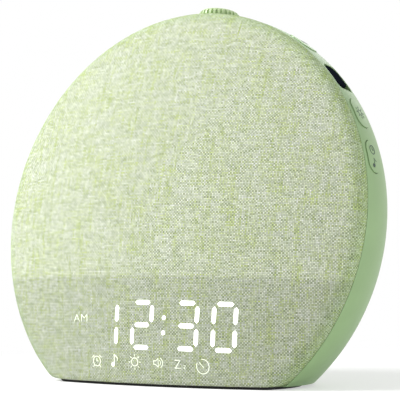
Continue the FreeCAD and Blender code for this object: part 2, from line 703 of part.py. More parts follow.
def display_holes(name, gap, low, high):
    """Colon dots, the place of the morning sign, and round holes behind the symbols."""
    items = []
    radius = f"Sizes.digit_stroke / 2 + {gap}"
    colon_x = "Sizes.first_column + (3 * Sizes.digit_pitch + Sizes.colon_space) / 2"
    for index, level in enumerate((-1, 1)):
        y = f"{level} * Sizes.digit_height / 5"
        x = f"{colon_x} + {y} * tan(Sizes.digit_slant)"
        items.append(rod(f"{name}_dot_{index}", radius, x, f"Form.digit_y + {y}", low, high))
    items.append(block(f"{name}_half_day", about("-Sizes.half_day_x", f"Sizes.half_day_width + 2 * {gap}"),
                       about("-Sizes.half_day_level", f"Sizes.half_day_height + 2 * {gap}"),
                       (low, high)))
    for index in range(6):
        x = f"Sizes.symbol_first + {index} * Sizes.symbol_pitch"
        items.append(rod(f"{name}_symbol_{index}", f"Sizes.symbol_radius + {gap}", x,
                         "Form.symbol_y", low, high))
    return items


# Black light mask behind the window, and the light guides in its openings
def make_display():
    face = "Form.shell_inset + Sizes.display_gap"
    outline = prism("mask_block", lambda sketch: draw_rounded(
        sketch, "0", "Form.window_y", "Sizes.window_width - 2 * Sizes.mask_margin",
        "Sizes.window_height - 2 * Sizes.mask_margin", "Sizes.window_corner - Sizes.mask_margin"),
        "Form.board_face", "Sizes.front_bulge")
    bounds = front_form("mask_bounds", face, "Form.shell_inset")
    solid = common("mask_solid", outline, bounds)
    digits = four_digits("mask_digits", "Sizes.guide_gap", "0", "Sizes.front_bulge")
    holes = display_holes("mask", "Sizes.guide_gap", "0", "Sizes.front_bulge")
    node(cut("display_mask_cut", solid, digits, *holes), "display_mask")

    low = "Form.board_face + Sizes.mask_foot"
    guides = four_digits("guide_digits", "0", low, "Sizes.front_bulge")
    dots = display_holes("guide", "0", low, "Sizes.front_bulge")
    trim = front_form("guide_bounds", face, "Form.shell_inset")
    node(common("display_guides_cut", group("guides", [guides, *dots]), trim), "display_segments")

    board = block("display_board_box", about("0", "Sizes.window_width - 2 * Sizes.mask_margin"),
                  about("Form.window_y", "Sizes.window_height - 4 * Sizes.mask_margin"),
                  ("0", "Form.board_face"))
    rim_bounds = rod("display_board_bounds", "Form.tray_radius", "0", "0", "0", "Form.board_face")
    node(common("display_board_cut", board, rim_bounds), "display_board")


# White tray: a plate inside the tongue, the light wall above the display, and board bosses
def make_light_tray():
    plate = turned("tray_disc", [
        ("0", "Form.tray_back"), ("Form.tray_radius", "Form.tray_back"),
        ("Form.tray_radius", "0"), ("0", "0"),
    ])
    cut_ground(plate, "Form.tray_floor")
    half_width = "sqrt(Form.tray_radius ^ 2 - Sizes.partition_level ^ 2)"
    wall = block("partition_box", (f"-{half_width}", half_width),
                 ("-Sizes.partition_level", "-Sizes.partition_level + Sizes.partition_wall"),
                 ("Form.tray_back", "Sizes.front_bulge"))
    bounds = front_form("partition_bounds", "Form.shell_inset + Sizes.display_gap",
                        "Form.shell_inset", "Form.tray_back")
    trimmed = common("partition", wall, bounds)
    bosses = []
    holes = []
    for index, (x, y) in enumerate(board_places()):
        bosses.append(rod(f"board_boss_{index}", "Sizes.boss_radius", x, y,
                          "Form.main_board_front", "Form.tray_back"))
        holes.append(rod(f"board_pilot_{index}", "Sizes.small_screw_radius + Sizes.shaft_gap", x, y,
                         "Form.main_board_front - Sizes.fit_gap",
                         "Form.main_board_back + Sizes.small_screw_length + Sizes.fit_gap"))
    for index, (x, y) in enumerate(light_screw_places()):
        holes.append(rod(f"light_pilot_{index}", "Sizes.small_screw_radius + Sizes.shaft_gap", x, y,
                         "2 * Form.tray_back", "Form.board_face"))
    for index, (x, y) in enumerate(screw_places()):
        holes.append(rod(f"tray_hole_{index}", "Sizes.screw_radius + Sizes.screw_gap", x, y,
                         "2 * Form.tray_back", "Sizes.front_bulge"))
    body = fuse("tray_joined", plate, trimmed, *bosses)
    node(cut("light_tray_cut", body, *holes), "light_tray")


def board_places():
    """The main board's four bosses."""
    for side in (-1, 1):
        x = f"{side} * (Sizes.main_board_width / 2 - Sizes.boss_inset)"
        for row in (-1, 1):
            y = f"-Sizes.main_board_level + {row} * (Sizes.main_board_height / 2 - Sizes.boss_inset)"
            yield x, y


# Light board with arcs of light-emitting chips, above the display
def make_light_board():
    board = prism("light_board_disc", lambda sketch: draw_circle(
        sketch, "0", "0", "Sizes.light_board_radius"), "0", "Form.board_face")
    sketch = new_sketch(board, "XY_Plane")
    draw(sketch, [
        ("-Sizes.rim_radius", "-Sizes.rim_radius"), ("Sizes.rim_radius", "-Sizes.rim_radius"),
        ("Sizes.rim_radius", "-Sizes.light_board_level"), ("-Sizes.rim_radius", "-Sizes.light_board_level"),
    ])
    through(board, sketch)
    holes = [rod(f"light_board_hole_{index}", "Sizes.small_screw_radius + Sizes.screw_gap", x, y,
                 "Form.tray_back", "2 * Form.board_face")
             for index, (x, y) in enumerate(light_screw_places())]
    node(cut("light_board_cut", board, *holes), "light_board")
    chips = []
    for ring, count in enumerate((5, 8, 11)):
        radius = f"(Sizes.led_ring_inner + {ring} * Sizes.led_ring_step)"
        for index in range(count):
            turn = f"{index} * 180 / {count - 1}"
            chips.append(block(
                f"led_{ring}_{index}", about("0", "Sizes.led_length"), about("0", "Sizes.led_width"),
                ("Form.board_face", "Form.board_face + Sizes.led_height"),
                at(f"{radius} * cos({turn})", f"{radius} * sin({turn})", "0")))
    node(group("led_group", chips), "light_leds")


def light_screw_places():
    """One screw between the arcs of chips, and two at the board's lower corners."""
    yield "0", "Sizes.led_ring_inner + Sizes.led_ring_step / 2"
    for side in (-1, 1):
        yield f"{side} * Sizes.light_screw_x", "-Sizes.light_screw_level"


def key_frames():
    """The three buttons' names and frames on the rim."""
    for name in ("upper", "middle", "lower"):
        yield name, rim(f"Sizes.{name}_angle", "Sizes.control_depth")


# Rear housing: a bowl with a flat back and underside, and everything moulded into it
def make_rear_housing():
    outside = rear_form("housing_outside", "0", "0", "Form.housing_front")
    inside = rear_form("housing_inside", "Sizes.housing_wall", "Sizes.housing_wall", "0")
    bowl = cut("housing_bowl", outside, inside)

    tongue = turned("housing_tongue", [
        ("Form.tongue_inner", "Form.housing_front - Sizes.tongue_root"),
        ("Form.shell_inner_radius + Sizes.housing_wall / 2", "Form.housing_front - Sizes.tongue_root"),
        ("Form.shell_inner_radius + Sizes.housing_wall / 2", "Form.housing_front"),
        ("Form.tongue_outer", "Form.housing_front"), ("Form.tongue_outer", "Sizes.tongue_reach"),
        ("Form.tongue_inner", "Sizes.tongue_reach"),
    ])
    cut_ground(tongue, "Form.tongue_floor")
    notch = turned("tongue_notch", [
        ("Form.web_radius / 2", "-Sizes.control_depth - Form.rail_half"),
        ("2 * Sizes.rim_radius", "-Sizes.control_depth - Form.rail_half"),
        ("2 * Sizes.rim_radius", "2 * Sizes.tongue_reach"),
        ("Form.web_radius / 2", "2 * Sizes.tongue_reach"),
    ], frame=RAIL_START, angle="Form.rail_span")
    tongue = cut("tongue_cut", tongue, notch)

    inner_parts = []
    for index, (x, y) in enumerate(screw_places()):
        inner_parts.append(rod(f"rear_post_{index}", "Sizes.post_radius", x, y,
                               "Form.back_face", "Form.tray_back"))
    inner_parts.append(turned("bracket_ledge", [
        ("Form.rail_radius", "Form.web_back - Sizes.ledge_thickness"),
        ("Form.swell_radius", "Form.web_back - Sizes.ledge_thickness"),
        ("Form.swell_radius", "Form.web_back"), ("Form.rail_radius", "Form.web_back"),
    ], frame=RAIL_START, angle="Form.rail_span"))
    slide_frame = rim("Sizes.slide_angle", "Sizes.control_depth")
    inner_parts.append(block(
        "recess_pan", about("0", "Sizes.recess_length + 2 * Sizes.recess_wall"),
        about("0", "Sizes.recess_width + 2 * Sizes.recess_wall"),
        ("Form.pan_bottom", "-Sizes.housing_wall / 2"), slide_frame))
    inner_parts.append(rod("door_boss", "Sizes.boss_radius", "-Sizes.battery_x", "Form.door_screw_y",
                           "Form.back_face + Sizes.door_thickness", "Form.back_inside + Sizes.door_boss"))
    for index, (x, y) in enumerate(speaker_places()):
        inner_parts.append(rod(f"speaker_boss_{index}", "Sizes.speaker_boss", x, y,
                               "Form.back_face", "Form.flange_front"))
    bounds = rear_form("inner_bounds", "Sizes.housing_wall / 4", "Sizes.housing_wall / 2",
                       "Form.housing_front")
    trimmed = common("inner_parts_trimmed", fuse("inner_parts", *inner_parts), bounds)

    knob_frame = rim("0", "Sizes.knob_depth")
    collar = rod("knob_collar", "Sizes.knob_radius + Sizes.collar_gap", "0", "0",
                 "Form.collar_bottom", "Form.collar_top", knob_frame)
    body = fuse("housing_joined", bowl, tongue, trimmed, collar)

    tools = [
        rod("knob_spotface", "Sizes.knob_radius + Sizes.collar_gap", "0", "0",
            "Form.collar_top", "Form.knob_top", knob_frame),
        rod("nut_well", "Sizes.nut_well_radius", "0", "0", "Form.well_floor",
            "Form.knob_top", knob_frame),
        rod("bushing_hole", "Sizes.bushing_radius + Sizes.fit_gap / 2", "0", "0",
            "2 * Form.collar_bottom", "Form.knob_top", knob_frame),
    ]
    for name, frame in key_frames():
        tools.append(prism(f"key_hole_{name}", lambda sketch: draw_pill(
            sketch, "0", "0", "Sizes.button_length + 2 * Sizes.button_gap",
            "Sizes.button_width + 2 * Sizes.button_gap"),
            "Form.stem_end", "Sizes.housing_wall", frame))
    tools.append(prism("finger_recess", lambda sketch: draw_rounded(
        sketch, "0", "0", "Sizes.recess_length", "Sizes.recess_width", "Sizes.recess_corner"),
        "-Sizes.recess_depth", "Sizes.housing_wall", slide_frame))
    tools.append(block(
        "slide_slot",
        about("0", "Sizes.slide_travel + Sizes.slide_neck + 2 * Sizes.slide_gap"),
        about("0", "Sizes.slide_neck_width + 2 * Sizes.slide_gap"),
        ("2 * Form.pan_bottom", "0"), slide_frame))
    for index, (x, y) in enumerate(screw_places()):
        tools.append(rod(f"head_well_{index}", "Sizes.head_radius + Sizes.screw_gap", x, y,
                         "2 * Form.back_face", "-Sizes.screw_seat"))
        tools.append(rod(f"screw_hole_{index}", "Sizes.screw_radius + Sizes.screw_gap", x, y,
                         "2 * Form.back_face", "Sizes.tongue_reach"))
    for index in range(2):
        x, y = bracket_screw_place(index)
        tools.append(rod(f"ledge_pilot_{index}", "Sizes.small_screw_radius + Sizes.shaft_gap", x, y,
                         "Form.rail_back - Sizes.small_screw_length - Sizes.fit_gap",
                         "Form.rail_back"))
    for index, (x, y) in enumerate(speaker_places()):
        tools.append(rod(f"speaker_pilot_{index}", "Sizes.small_screw_radius + Sizes.shaft_gap", x, y,
                         "Form.flange_front - Sizes.speaker_screw_length - Sizes.fit_gap",
                         "Form.flange_front"))
    tools.append(make_grille_slots())
    tools.append(rod("inlet_hole", "Sizes.inlet_radius + Sizes.fit_gap / 2", "0",
                     "Form.inlet_y", "2 * Form.back_face", "Form.back_inside + Sizes.housing_wall"))
    tools.append(rod("inlet_recess", "Sizes.inlet_flange_radius + Sizes.fit_gap", "0",
                     "Form.inlet_y", "2 * Form.back_face", "Form.back_face + Sizes.inlet_flange"))
    tools.append(prism("door_recess", lambda sketch: draw_rounded(
        sketch, "-Sizes.battery_x", "Form.door_y", "Sizes.door_width",
        "Sizes.door_width + Sizes.door_strip", "Sizes.door_ledge"),
        "2 * Form.back_face", "Form.back_face + Sizes.door_thickness"))
    tools.append(prism("door_opening", lambda sketch: draw_rounded(
        sketch, "-Sizes.battery_x", "-Sizes.battery_level", "Sizes.door_width - 2 * Sizes.door_ledge",
        "Sizes.door_width - 2 * Sizes.door_ledge", "Sizes.door_ledge / 2"),
        "2 * Form.back_face", "Form.back_inside + Sizes.fit_gap"))
    tools.append(rod("door_pilot", "Sizes.small_screw_radius + Sizes.shaft_gap", "-Sizes.battery_x",
                     "Form.door_screw_y", "2 * Form.back_face",
                     "Form.back_face + Sizes.door_thickness + Sizes.small_screw_length"))
    node(cut("rear_housing_cut", body, *tools), "rear_housing")


def make_grille_slots():
    """Level slots that fill a round field in front of the speaker."""
    body = new_body("grille_slots")
    sketch = new_sketch(body, "XY_Plane", "Form.back_face - Sizes.housing_wall")
    rows = int(number("Sizes.grille_radius") // number("Sizes.slot_pitch"))
    for index in range(-rows, rows + 1):
        offset = f"{index} * Sizes.slot_pitch"
        length = f"2 * sqrt(Sizes.grille_radius ^ 2 - ({offset}) ^ 2) + Sizes.slot_width"
        draw_pill(sketch, "0", f"Sizes.speaker_level + {offset}", length, "Sizes.slot_width")
    pad(body, sketch, "3 * Sizes.housing_wall")
    return body


# Rubber foot under both halves, inside the outline of the underside
def make_base_foot():
    front = front_form("foot_front", "Sizes.foot_inset", "-Sizes.foot_thickness",
                       "-Sizes.swell_depth")
    rear = rear_form("foot_rear", "Sizes.foot_inset", "-Sizes.foot_thickness", "0")
    both = fuse("foot_form", front, rear)
    upper = new_body("above_foot")
    sketch = new_sketch(upper, "YZ_Plane")
    far = "2 * Sizes.rim_radius"
    draw(sketch, [
        (ground_y("0", far), far), (ground_y("0", f"-{far}"), f"-{far}"),
        (far, f"-{far}"), (far, far),
    ])
    slab = pad(upper, sketch, "4 * Sizes.rim_radius")
    slab.SideType = "Symmetric"
    node(cut("base_foot_cut", both, upper), "base_foot")


def make_housing_screws():
    screws = [screw(f"housing_screw_{index}", x, y, "-Sizes.screw_seat", "Sizes.screw_bite",
                    "Sizes.screw_radius", "Sizes.head_radius", "Sizes.head_height")
              for index, (x, y) in enumerate(screw_places())]
    node(group("housing_screw_group", screws), "housing_screws")


# Rail that carries the switch strip, screwed to the ledge in the housing
def make_control_bracket():
    rail = turned("bracket_rail", [
        ("Form.rail_inner", "Form.web_back"), ("Form.web_radius", "Form.web_back"),
        ("Form.web_radius", "Form.rail_back"), ("Form.rail_radius", "Form.rail_back"),
        ("Form.rail_radius", "Form.rail_front"), ("Form.rail_inner", "Form.rail_front"),
    ], frame=RAIL_START, angle="Form.rail_span")
    holes = []
    screws = []
    for index in range(2):
        x, y = bracket_screw_place(index)
        holes.append(rod(f"bracket_hole_{index}", "Sizes.small_screw_radius + Sizes.screw_gap", x, y,
                         "2 * Form.web_back", "0"))
        screws.append(screw(f"bracket_screw_{index}", "0", "0", "0", "Sizes.small_screw_length",
                            "Sizes.small_screw_radius", "Sizes.small_head_radius",
                            "Sizes.small_head_height", facing(x, y, "Form.rail_back")))
    node(cut("control_bracket_cut", rail, *holes), "control_bracket")
    node(group("bracket_screw_group", screws), "bracket_screws")
    strip = turned("control_strip_turned", [
        ("Form.rail_radius", "Form.rail_back + Sizes.fit_gap"),
        ("Form.strip_radius", "Form.rail_back + Sizes.fit_gap"),
        ("Form.strip_radius", "Form.rail_front"), ("Form.rail_radius", "Form.rail_front"),
    ], frame=RAIL_START, angle="Form.rail_span")
    node(strip, "control_strip")


def bracket_screw_place(index):
    """Near the bracket's two ends, on the web."""
    ends = ("(Sizes.rail_start + Sizes.bracket_screw_inset)", "(Sizes.rail_end - Sizes.bracket_screw_inset)")
    angle = ends[index]
    return f"Form.bracket_screw_radius * sin({angle})", f"Form.bracket_screw_radius * cos({angle})"


# Buttons: a cap that follows the housing's curves, a flange that keeps it in, and a stem
def make_buttons():
    switches = []
    flange_face = "-(Sizes.housing_wall + Sizes.flange_drop)"
    flange_back = f"{flange_face} - Sizes.flange_thickness"
    for name, frame in key_frames():
        cap = prism(f"cap_{name}", lambda sketch: draw_pill(
            sketch, "0", "0", "Sizes.button_length", "Sizes.button_width"),
            flange_back, "2 * Sizes.housing_wall", frame)
        flange = prism(f"flange_{name}", lambda sketch: draw_pill(
            sketch, "0", "0", "Sizes.button_length + 2 * Sizes.flange_lip",
            "Sizes.button_width + 2 * Sizes.flange_lip"), flange_back, flange_face, frame)
        stem = rod(f"stem_{name}", "Sizes.stem_radius", "0", "0", "Form.stem_end", flange_face, frame)
        grown = rear_form(f"grown_{name}", "-Sizes.button_proud", "0", "0")
        whole = fuse(f"key_{name}", cap, flange, stem)
        node(common(f"button_{name}_cut", whole, grown), f"button_{name}")

        plunger = rod(f"tact_plunger_{name}_rod", "Sizes.tact_plunger_radius", "0", "0",
                      "Form.tact_face - Sizes.tact_plunger_in", "Form.stem_end", frame)
        node(plunger, f"tact_plunger_{name}")
        case = block(f"tact_case_{name}", about("0", "Sizes.tact_width"), about("0", "Sizes.tact_width"),
                     ("Form.strip_face", "Form.tact_face"), frame)
        well = rod(f"tact_well_{name}", "Sizes.tact_plunger_radius + Sizes.fit_gap", "0", "0",
                   "Form.tact_face - Sizes.tact_plunger_in - Sizes.button_travel - Sizes.fit_gap",
                   "0", frame)
        switches.append(cut(f"tact_switch_{name}", case, well))
    node(group("tact_switch_group", switches), "tact_switches")


# Slide switch under the finger recess, and its black cap
def make_slide():
    frame = rim("Sizes.slide_angle", "Sizes.control_depth")
    rest = "-Sizes.slide_travel / 2"
    thumb = prism("slide_thumb", lambda sketch: draw_rounded(
        sketch, rest, "0", "Sizes.slide_length",
        "Sizes.recess_width - 2 * Sizes.slide_gap", "Sizes.slide_corner"),
        "-Sizes.recess_depth + Sizes.tray_gap", "Sizes.housing_wall", frame)
    neck_end = "(Form.tact_face - Sizes.strip_thickness)"
    neck = block("slide_neck", about(rest, "Sizes.slide_neck"),
                 about("0", "Sizes.slide_neck_width"),
                 (neck_end, "-Sizes.recess_depth + Sizes.slide_gap"), frame)
    grown = rear_form("grown_slide", "Sizes.slide_drop", "0", "Form.housing_front")
    node(common("slide_cap_cut", fuse("slide_whole", thumb, neck), grown), "slide_cap")
    case = block("slide_case", about("0", "Sizes.slide_switch_length"),
                 about("0", "Sizes.slide_switch_width"), ("Form.strip_face", "Form.tact_face"), frame)
    slot = block("slide_case_slot",
                 about("0", "Sizes.slide_travel + Sizes.slide_neck + 2 * Sizes.slide_gap"),
                 about("0", "Sizes.slide_neck_width + 2 * Sizes.slide_gap"),
                 (f"{neck_end} - Sizes.slide_gap", "Form.pan_bottom"), frame)
    node(cut("slide_switch_cut", case, slot), "slide_switch")


# Knob: a low drum with a rounded top, grooved between its ribs, hollow underneath
def make_knob():
    frame = rim("0", "Sizes.knob_depth")
    relief = "Form.knob_bottom + Sizes.knob_relief"
    body = turned("knob_body", [
        ("Sizes.shaft_radius + Sizes.shaft_gap / 2", relief), ("Sizes.nut_well_radius", relief),
        ("Sizes.nut_well_radius", "Form.knob_bottom"), ("Sizes.knob_radius", "Form.knob_bottom"),
        ("Sizes.knob_radius", "Form.knob_top - Sizes.knob_round"),
        ("Sizes.knob_radius - Sizes.knob_round", "Form.knob_top"), ("0", "Form.knob_top"),
        ("0", "Form.shaft_top"), ("Sizes.shaft_radius + Sizes.shaft_gap / 2", "Form.shaft_top"),
    ], {4: ("Sizes.knob_round", 1)}, frame)
    doc.recompute()
    sketch = new_sketch(body, "XY_Plane")
    floor = "(Sizes.knob_radius - Sizes.rib_depth)"
    draw(sketch, [
        (floor, "-Sizes.groove_floor / 2"), ("Sizes.knob_radius", "-Sizes.groove_mouth / 2"),
        ("Sizes.knob_radius + Sizes.rib_depth", "-Sizes.groove_mouth / 2"),
        ("Sizes.knob_radius + Sizes.rib_depth", "Sizes.groove_mouth / 2"),
        ("Sizes.knob_radius", "Sizes.groove_mouth / 2"), (floor, "Sizes.groove_floor / 2"),
    ])
    groove = through(body, sketch)
    doc.recompute()
    pattern = body.newObject("PartDesign::PolarPattern", "knob_ribs")
    pattern.Originals = [groove]
    pattern.Axis = (sketch, ["N_Axis"])
    pattern.Angle = 360
    pattern.setExpression("Occurrences", "Sizes.rib_count")
    body.Tip = pattern
    node(body, "knob")
    shaft = rod("encoder_shaft_rod", "Sizes.shaft_radius", "0", "0", "Form.shaft_bottom",
                "Form.shaft_top", frame)
    node(shaft, "encoder_shaft")


# Encoder under the knob's collar, held by its nut, with a plunger that the shaft presses
def make_encoder():
    frame = rim("0", "Sizes.knob_depth")
    case = block("encoder_case", about("0", "Sizes.encoder_width"), about("0", "Sizes.encoder_width"),
                 ("Form.encoder_bottom", "Form.collar_bottom"), frame)
    bushing = rod("encoder_bushing", "Sizes.bushing_radius", "0", "0", "Form.encoder_bottom",
                  "Form.collar_bottom + Sizes.bushing_rise", frame)
    bore = rod("encoder_bore", "Sizes.shaft_radius + Sizes.shaft_gap", "0", "0",
               "Form.plunger_bottom - Sizes.knob_travel - Sizes.fit_gap", "Form.knob_top", frame)
    node(cut("encoder_body_cut", fuse("encoder_joined", case, bushing), bore), "encoder_body")
    plunger = rod("encoder_plunger_rod", "Sizes.plunger_radius", "0", "0", "Form.plunger_bottom",
                  "Form.shaft_bottom", frame)
    node(plunger, "encoder_plunger")
    board = block("encoder_board_box", about("0", "Sizes.encoder_board_width"),
                  about("0", "Sizes.encoder_board_width"),
                  ("Form.encoder_bottom - Sizes.board_thickness", "Form.encoder_bottom"), frame)
    node(board, "encoder_board")
    washer_top = "Form.well_floor + Sizes.washer_thickness"
    washer = rod("washer_disc", "Sizes.washer_radius", "0", "0", "Form.well_floor", washer_top, frame)
    washer_hole = rod("washer_hole", "Sizes.bushing_radius + Sizes.shaft_gap", "0", "0",
                      "Form.collar_bottom", "Form.collar_top", frame)
    node(cut("encoder_washer_cut", washer, washer_hole), "encoder_washer")
    hexagon = doc.addObject("Part::Prism", "nut_hexagon")
    hexagon.Polygon = 6
    hexagon.setExpression("Circumradius", "Sizes.nut_radius")
    hexagon.setExpression("Height", "Sizes.nut_height")
    place(hexagon, f"{frame} * {at('0', '0', washer_top)}")
    nut_hole = rod("nut_hole", "Sizes.bushing_radius + Sizes.shaft_gap", "0", "0",
                   "Form.collar_bottom", "Form.knob_top", frame)
    node(cut("encoder_nut_cut", hexagon, nut_hole), "encoder_nut")


def speaker_places():
    """Four screws close round the speaker's flange."""
    reach = "(Sizes.speaker_radius + Sizes.fit_gap + Sizes.speaker_boss) * sin(45)"
    for side in (-1, 1):
        for row in (-1, 1):
            yield f"{side} * {reach}", f"Sizes.speaker_level + {row} * {reach}"


def facing(x, y, z):
    """A frame that is turned to look inwards, for screws driven to the back."""
    return f"placement(vector({x}; {y}; {z}); rotation(vector(1; 0; 0); 180))"


# Speaker facing the slots: gasket, frame, magnet, and the cone with its soft surround
def make_speaker():
    screws = [screw(f"speaker_screw_{index}", "0", "0", "0", "Sizes.speaker_screw_length",
                    "Sizes.small_screw_radius", "Sizes.speaker_head", "Sizes.small_head_height",
                    facing(x, y, "Form.flange_front"))
              for index, (x, y) in enumerate(speaker_places())]
    node(group("speaker_screw_group", screws), "speaker_screws")
    frame = at("0", "Sizes.speaker_level", "0")
    radius = "Sizes.speaker_radius"
    wall = "Sizes.speaker_flange"
    node(turned("speaker_gasket_ring", [
        ("Form.ring_inner", "Form.back_inside"), (radius, "Form.back_inside"),
        (radius, "Form.flange_back"), ("Form.ring_inner", "Form.flange_back"),
    ], frame=frame), "speaker_gasket")
    coil_hole = "Sizes.coil_radius + Sizes.cone_thickness + Sizes.coil_gap"
    node(turned("speaker_frame_turned", [
        ("Form.ring_inner", "Form.flange_back"), (radius, "Form.flange_back"),
        (radius, "Form.flange_front"), (f"Form.ring_inner + {wall}", "Form.flange_front"),
        (f"Sizes.basket_radius + {wall}", f"Form.basket_front - {wall}"),
        (f"Sizes.basket_radius + {wall}", "Form.basket_front"), (coil_hole, "Form.basket_front"),
        (coil_hole, f"Form.basket_front - {wall}"), ("Sizes.basket_radius", f"Form.basket_front - {wall}"),
        ("Form.ring_inner", "Form.flange_front"),
    ], frame=frame), "speaker_frame")
    gap_depth = "Form.basket_front + Sizes.magnet_height - Sizes.speaker_flange"
    node(turned("speaker_magnet_turned", [
        ("0", "Form.basket_front"), ("Sizes.coil_radius - Sizes.coil_gap", "Form.basket_front"),
        ("Sizes.coil_radius - Sizes.coil_gap", gap_depth), (coil_hole, gap_depth),
        (coil_hole, "Form.basket_front"), ("Sizes.magnet_radius", "Form.basket_front"),
        ("Sizes.magnet_radius", "Form.magnet_front"), ("0", "Form.magnet_front"),
    ], frame=frame), "speaker_magnet")
    skin = "Sizes.cone_thickness"
    coil_end = "Form.basket_front + Sizes.magnet_height / 2"
    node(turned("speaker_cone_turned", [
        ("0", "Form.cone_small"), ("Sizes.coil_radius", "Form.cone_small"),
        ("Form.cone_radius", "Form.cone_back"), ("Form.cone_radius", f"Form.cone_back + 2 * {skin}"),
        (f"Sizes.coil_radius + {skin}", f"Form.cone_small + 2 * {skin}"),
        (f"Sizes.coil_radius + {skin}", coil_end), ("Sizes.coil_radius", coil_end),
        ("Sizes.coil_radius", f"Form.cone_small + {skin}"), ("0", f"Form.cone_small + {skin}"),
    ], frame=frame), "speaker_cone")
    outer = "Form.cone_radius + Sizes.surround_width"
    node(turned("speaker_surround_turned", [
        ("Form.cone_radius", "Form.cone_back"), (outer, "Form.cone_back"),
        (outer, f"Form.cone_back + {skin}"), ("Form.cone_radius", f"Form.cone_back + {skin}"),
    ], frame=frame), "speaker_surround")


# Power inlet: a barrel through the back, a nut inside, and its centre contact
def make_inlet():
    frame = at("0", "Form.inlet_y", "0")
    flange = "Form.back_face + Sizes.inlet_flange"
    end = "Form.back_face + Sizes.inlet_length"
    mouth = "Form.back_face + Sizes.inlet_bore_depth"
    node(turned("inlet_socket_turned", [
        ("Sizes.inlet_bore", "Form.back_face"), ("Sizes.inlet_flange_radius", "Form.back_face"),
        ("Sizes.inlet_flange_radius", flange), ("Sizes.inlet_radius", flange),
        ("Sizes.inlet_radius", end), ("0", end), ("0", mouth), ("Sizes.inlet_bore", mouth),
    ], frame=frame), "inlet_socket")
    node(rod("inlet_pin_rod", "Sizes.inlet_pin_radius", "0", "0",
             "Form.back_face + Sizes.inlet_flange", mouth, frame), "inlet_pin")
    hexagon = doc.addObject("Part::Prism", "inlet_hexagon")
    hexagon.Polygon = 6
    hexagon.setExpression("Circumradius", "Sizes.inlet_flange_radius + Sizes.inlet_flange")
    hexagon.setExpression("Height", "Sizes.inlet_nut_height")
    place(hexagon, f"{frame} * {at('0', '0', 'Form.back_inside')}")
    hole = rod("inlet_nut_hole", "Sizes.inlet_radius + Sizes.shaft_gap", "0", "0",
               "Form.back_face", "0", frame)
    node(cut("inlet_nut_cut", hexagon, hole), "inlet_nut")


# Coin cell in its holder, behind a screwed door in the back
def make_battery():
    middle = ("-Sizes.battery_x", "-Sizes.battery_level")
    frame = at(*middle, "0")
    door_back = "Form.back_face + Sizes.door_thickness"
    plate = prism("battery_door_plate", lambda sketch: draw_rounded(
        sketch, "-Sizes.battery_x", "Form.door_y", "Sizes.door_width - 2 * Sizes.fit_gap",
        "Sizes.door_width + Sizes.door_strip - 2 * Sizes.fit_gap", "Sizes.door_ledge"),
        "Form.back_face", door_back)
    seat = f"({door_back} - Sizes.fit_gap)"
    tip = "Form.back_face + Sizes.small_screw_length"
    spot = ("-Sizes.battery_x", "Form.door_screw_y")
    hole = rod("door_screw_hole", "Sizes.small_screw_radius + Sizes.screw_gap", *spot,
               "2 * Form.back_face", "0")
    well = rod("door_screw_well", "Sizes.small_head_radius + Sizes.screw_gap", *spot,
               "2 * Form.back_face", seat)
    node(cut("battery_door_cut", plate, hole, well), "battery_door")
    node(screw("door_screw_turned", *spot, seat, tip, "Sizes.small_screw_radius",
               "Sizes.small_head_radius", "Sizes.door_thickness - 2 * Sizes.fit_gap"),
         "battery_door_screw")
    holder_end = "Form.back_inside + Sizes.cell_height + 3 * Sizes.holder_wall"
    case = block("holder_case", about("0", "2 * (Sizes.cell_radius + Sizes.fit_gap + Sizes.holder_wall)"),
                 about("0", "2 * (Sizes.cell_radius + Sizes.fit_gap + Sizes.holder_wall)"),
                 ("Form.back_inside", holder_end), frame)
    pocket = rod("holder_pocket", "Sizes.cell_radius + Sizes.fit_gap", "0", "0", "Form.back_face",
                 f"{holder_end} - Sizes.holder_wall", frame)
    node(cut("battery_holder_cut", case, pocket), "battery_holder")
    cell_front = f"{holder_end} - Sizes.holder_wall"
    node(rod("coin_cell_disc", "Sizes.cell_radius", "0", "0", f"{cell_front} - Sizes.cell_height",
             cell_front, frame), "coin_cell")


# Main board on the tray's bosses, with its chips and screws
def make_main_board():
    middle = "-Sizes.main_board_level"
    board = block("main_board_box", about("0", "Sizes.main_board_width"),
                  about(middle, "Sizes.main_board_height"),
                  ("Form.main_board_back", "Form.main_board_front"))
    holes = []
    screws = []
    for index, (x, y) in enumerate(board_places()):
        holes.append(rod(f"main_board_hole_{index}", "Sizes.small_screw_radius + Sizes.screw_gap", x, y,
                         "2 * Form.main_board_back", "0"))
        screws.append(screw(f"board_screw_{index}", x, y, "Form.main_board_back",
                            "Form.main_board_back + Sizes.small_screw_length",
                            "Sizes.small_screw_radius", "Sizes.small_head_radius",
                            "Sizes.small_head_height"))
    for index, (x, y) in enumerate(light_screw_places()):
        screws.append(screw(f"light_screw_{index}", "0", "0", "0", "Sizes.small_screw_length",
                            "Sizes.small_screw_radius", "Sizes.small_head_radius",
                            "Sizes.small_head_height", facing(x, y, "Form.board_face")))
    node(cut("main_board_cut", board, *holes), "main_board")
    node(group("board_screw_group", screws), "board_screws")
    chips = []
    for index, (x, y, width, height) in enumerate(((-22, -4, 10, 10), (6, 6, 7, 7), (24, -6, 6, 9))):
        chips.append(block(f"chip_{index}", about(str(x), str(width)),
                           about(f"{middle} + {y}", str(height)),
                           ("Form.main_board_back - Sizes.board_thickness", "Form.main_board_back")))
    node(group("chip_group", chips), "board_chips")


make_front_fabric()
make_front_shell()
make_display_window()
make_display()
make_light_tray()
make_light_board()
make_rear_housing()
make_base_foot()
make_housing_screws()
make_control_bracket()
make_buttons()
make_slide()
make_knob()
make_encoder()
make_speaker()
make_inlet()
make_battery()
make_main_board()
doc.recompute()

faults = [f"{item.Name}: {item.State}" for item in doc.Objects
          if "Invalid" in item.State or "Error" in item.State]
for item in nodes:
    if item.Shape.isNull() or not item.Shape.isValid() or not item.Shape.Solids:
        faults.append(f"{item.Label}: no valid solid")
if faults:
    raise RuntimeError("; ".join(faults))

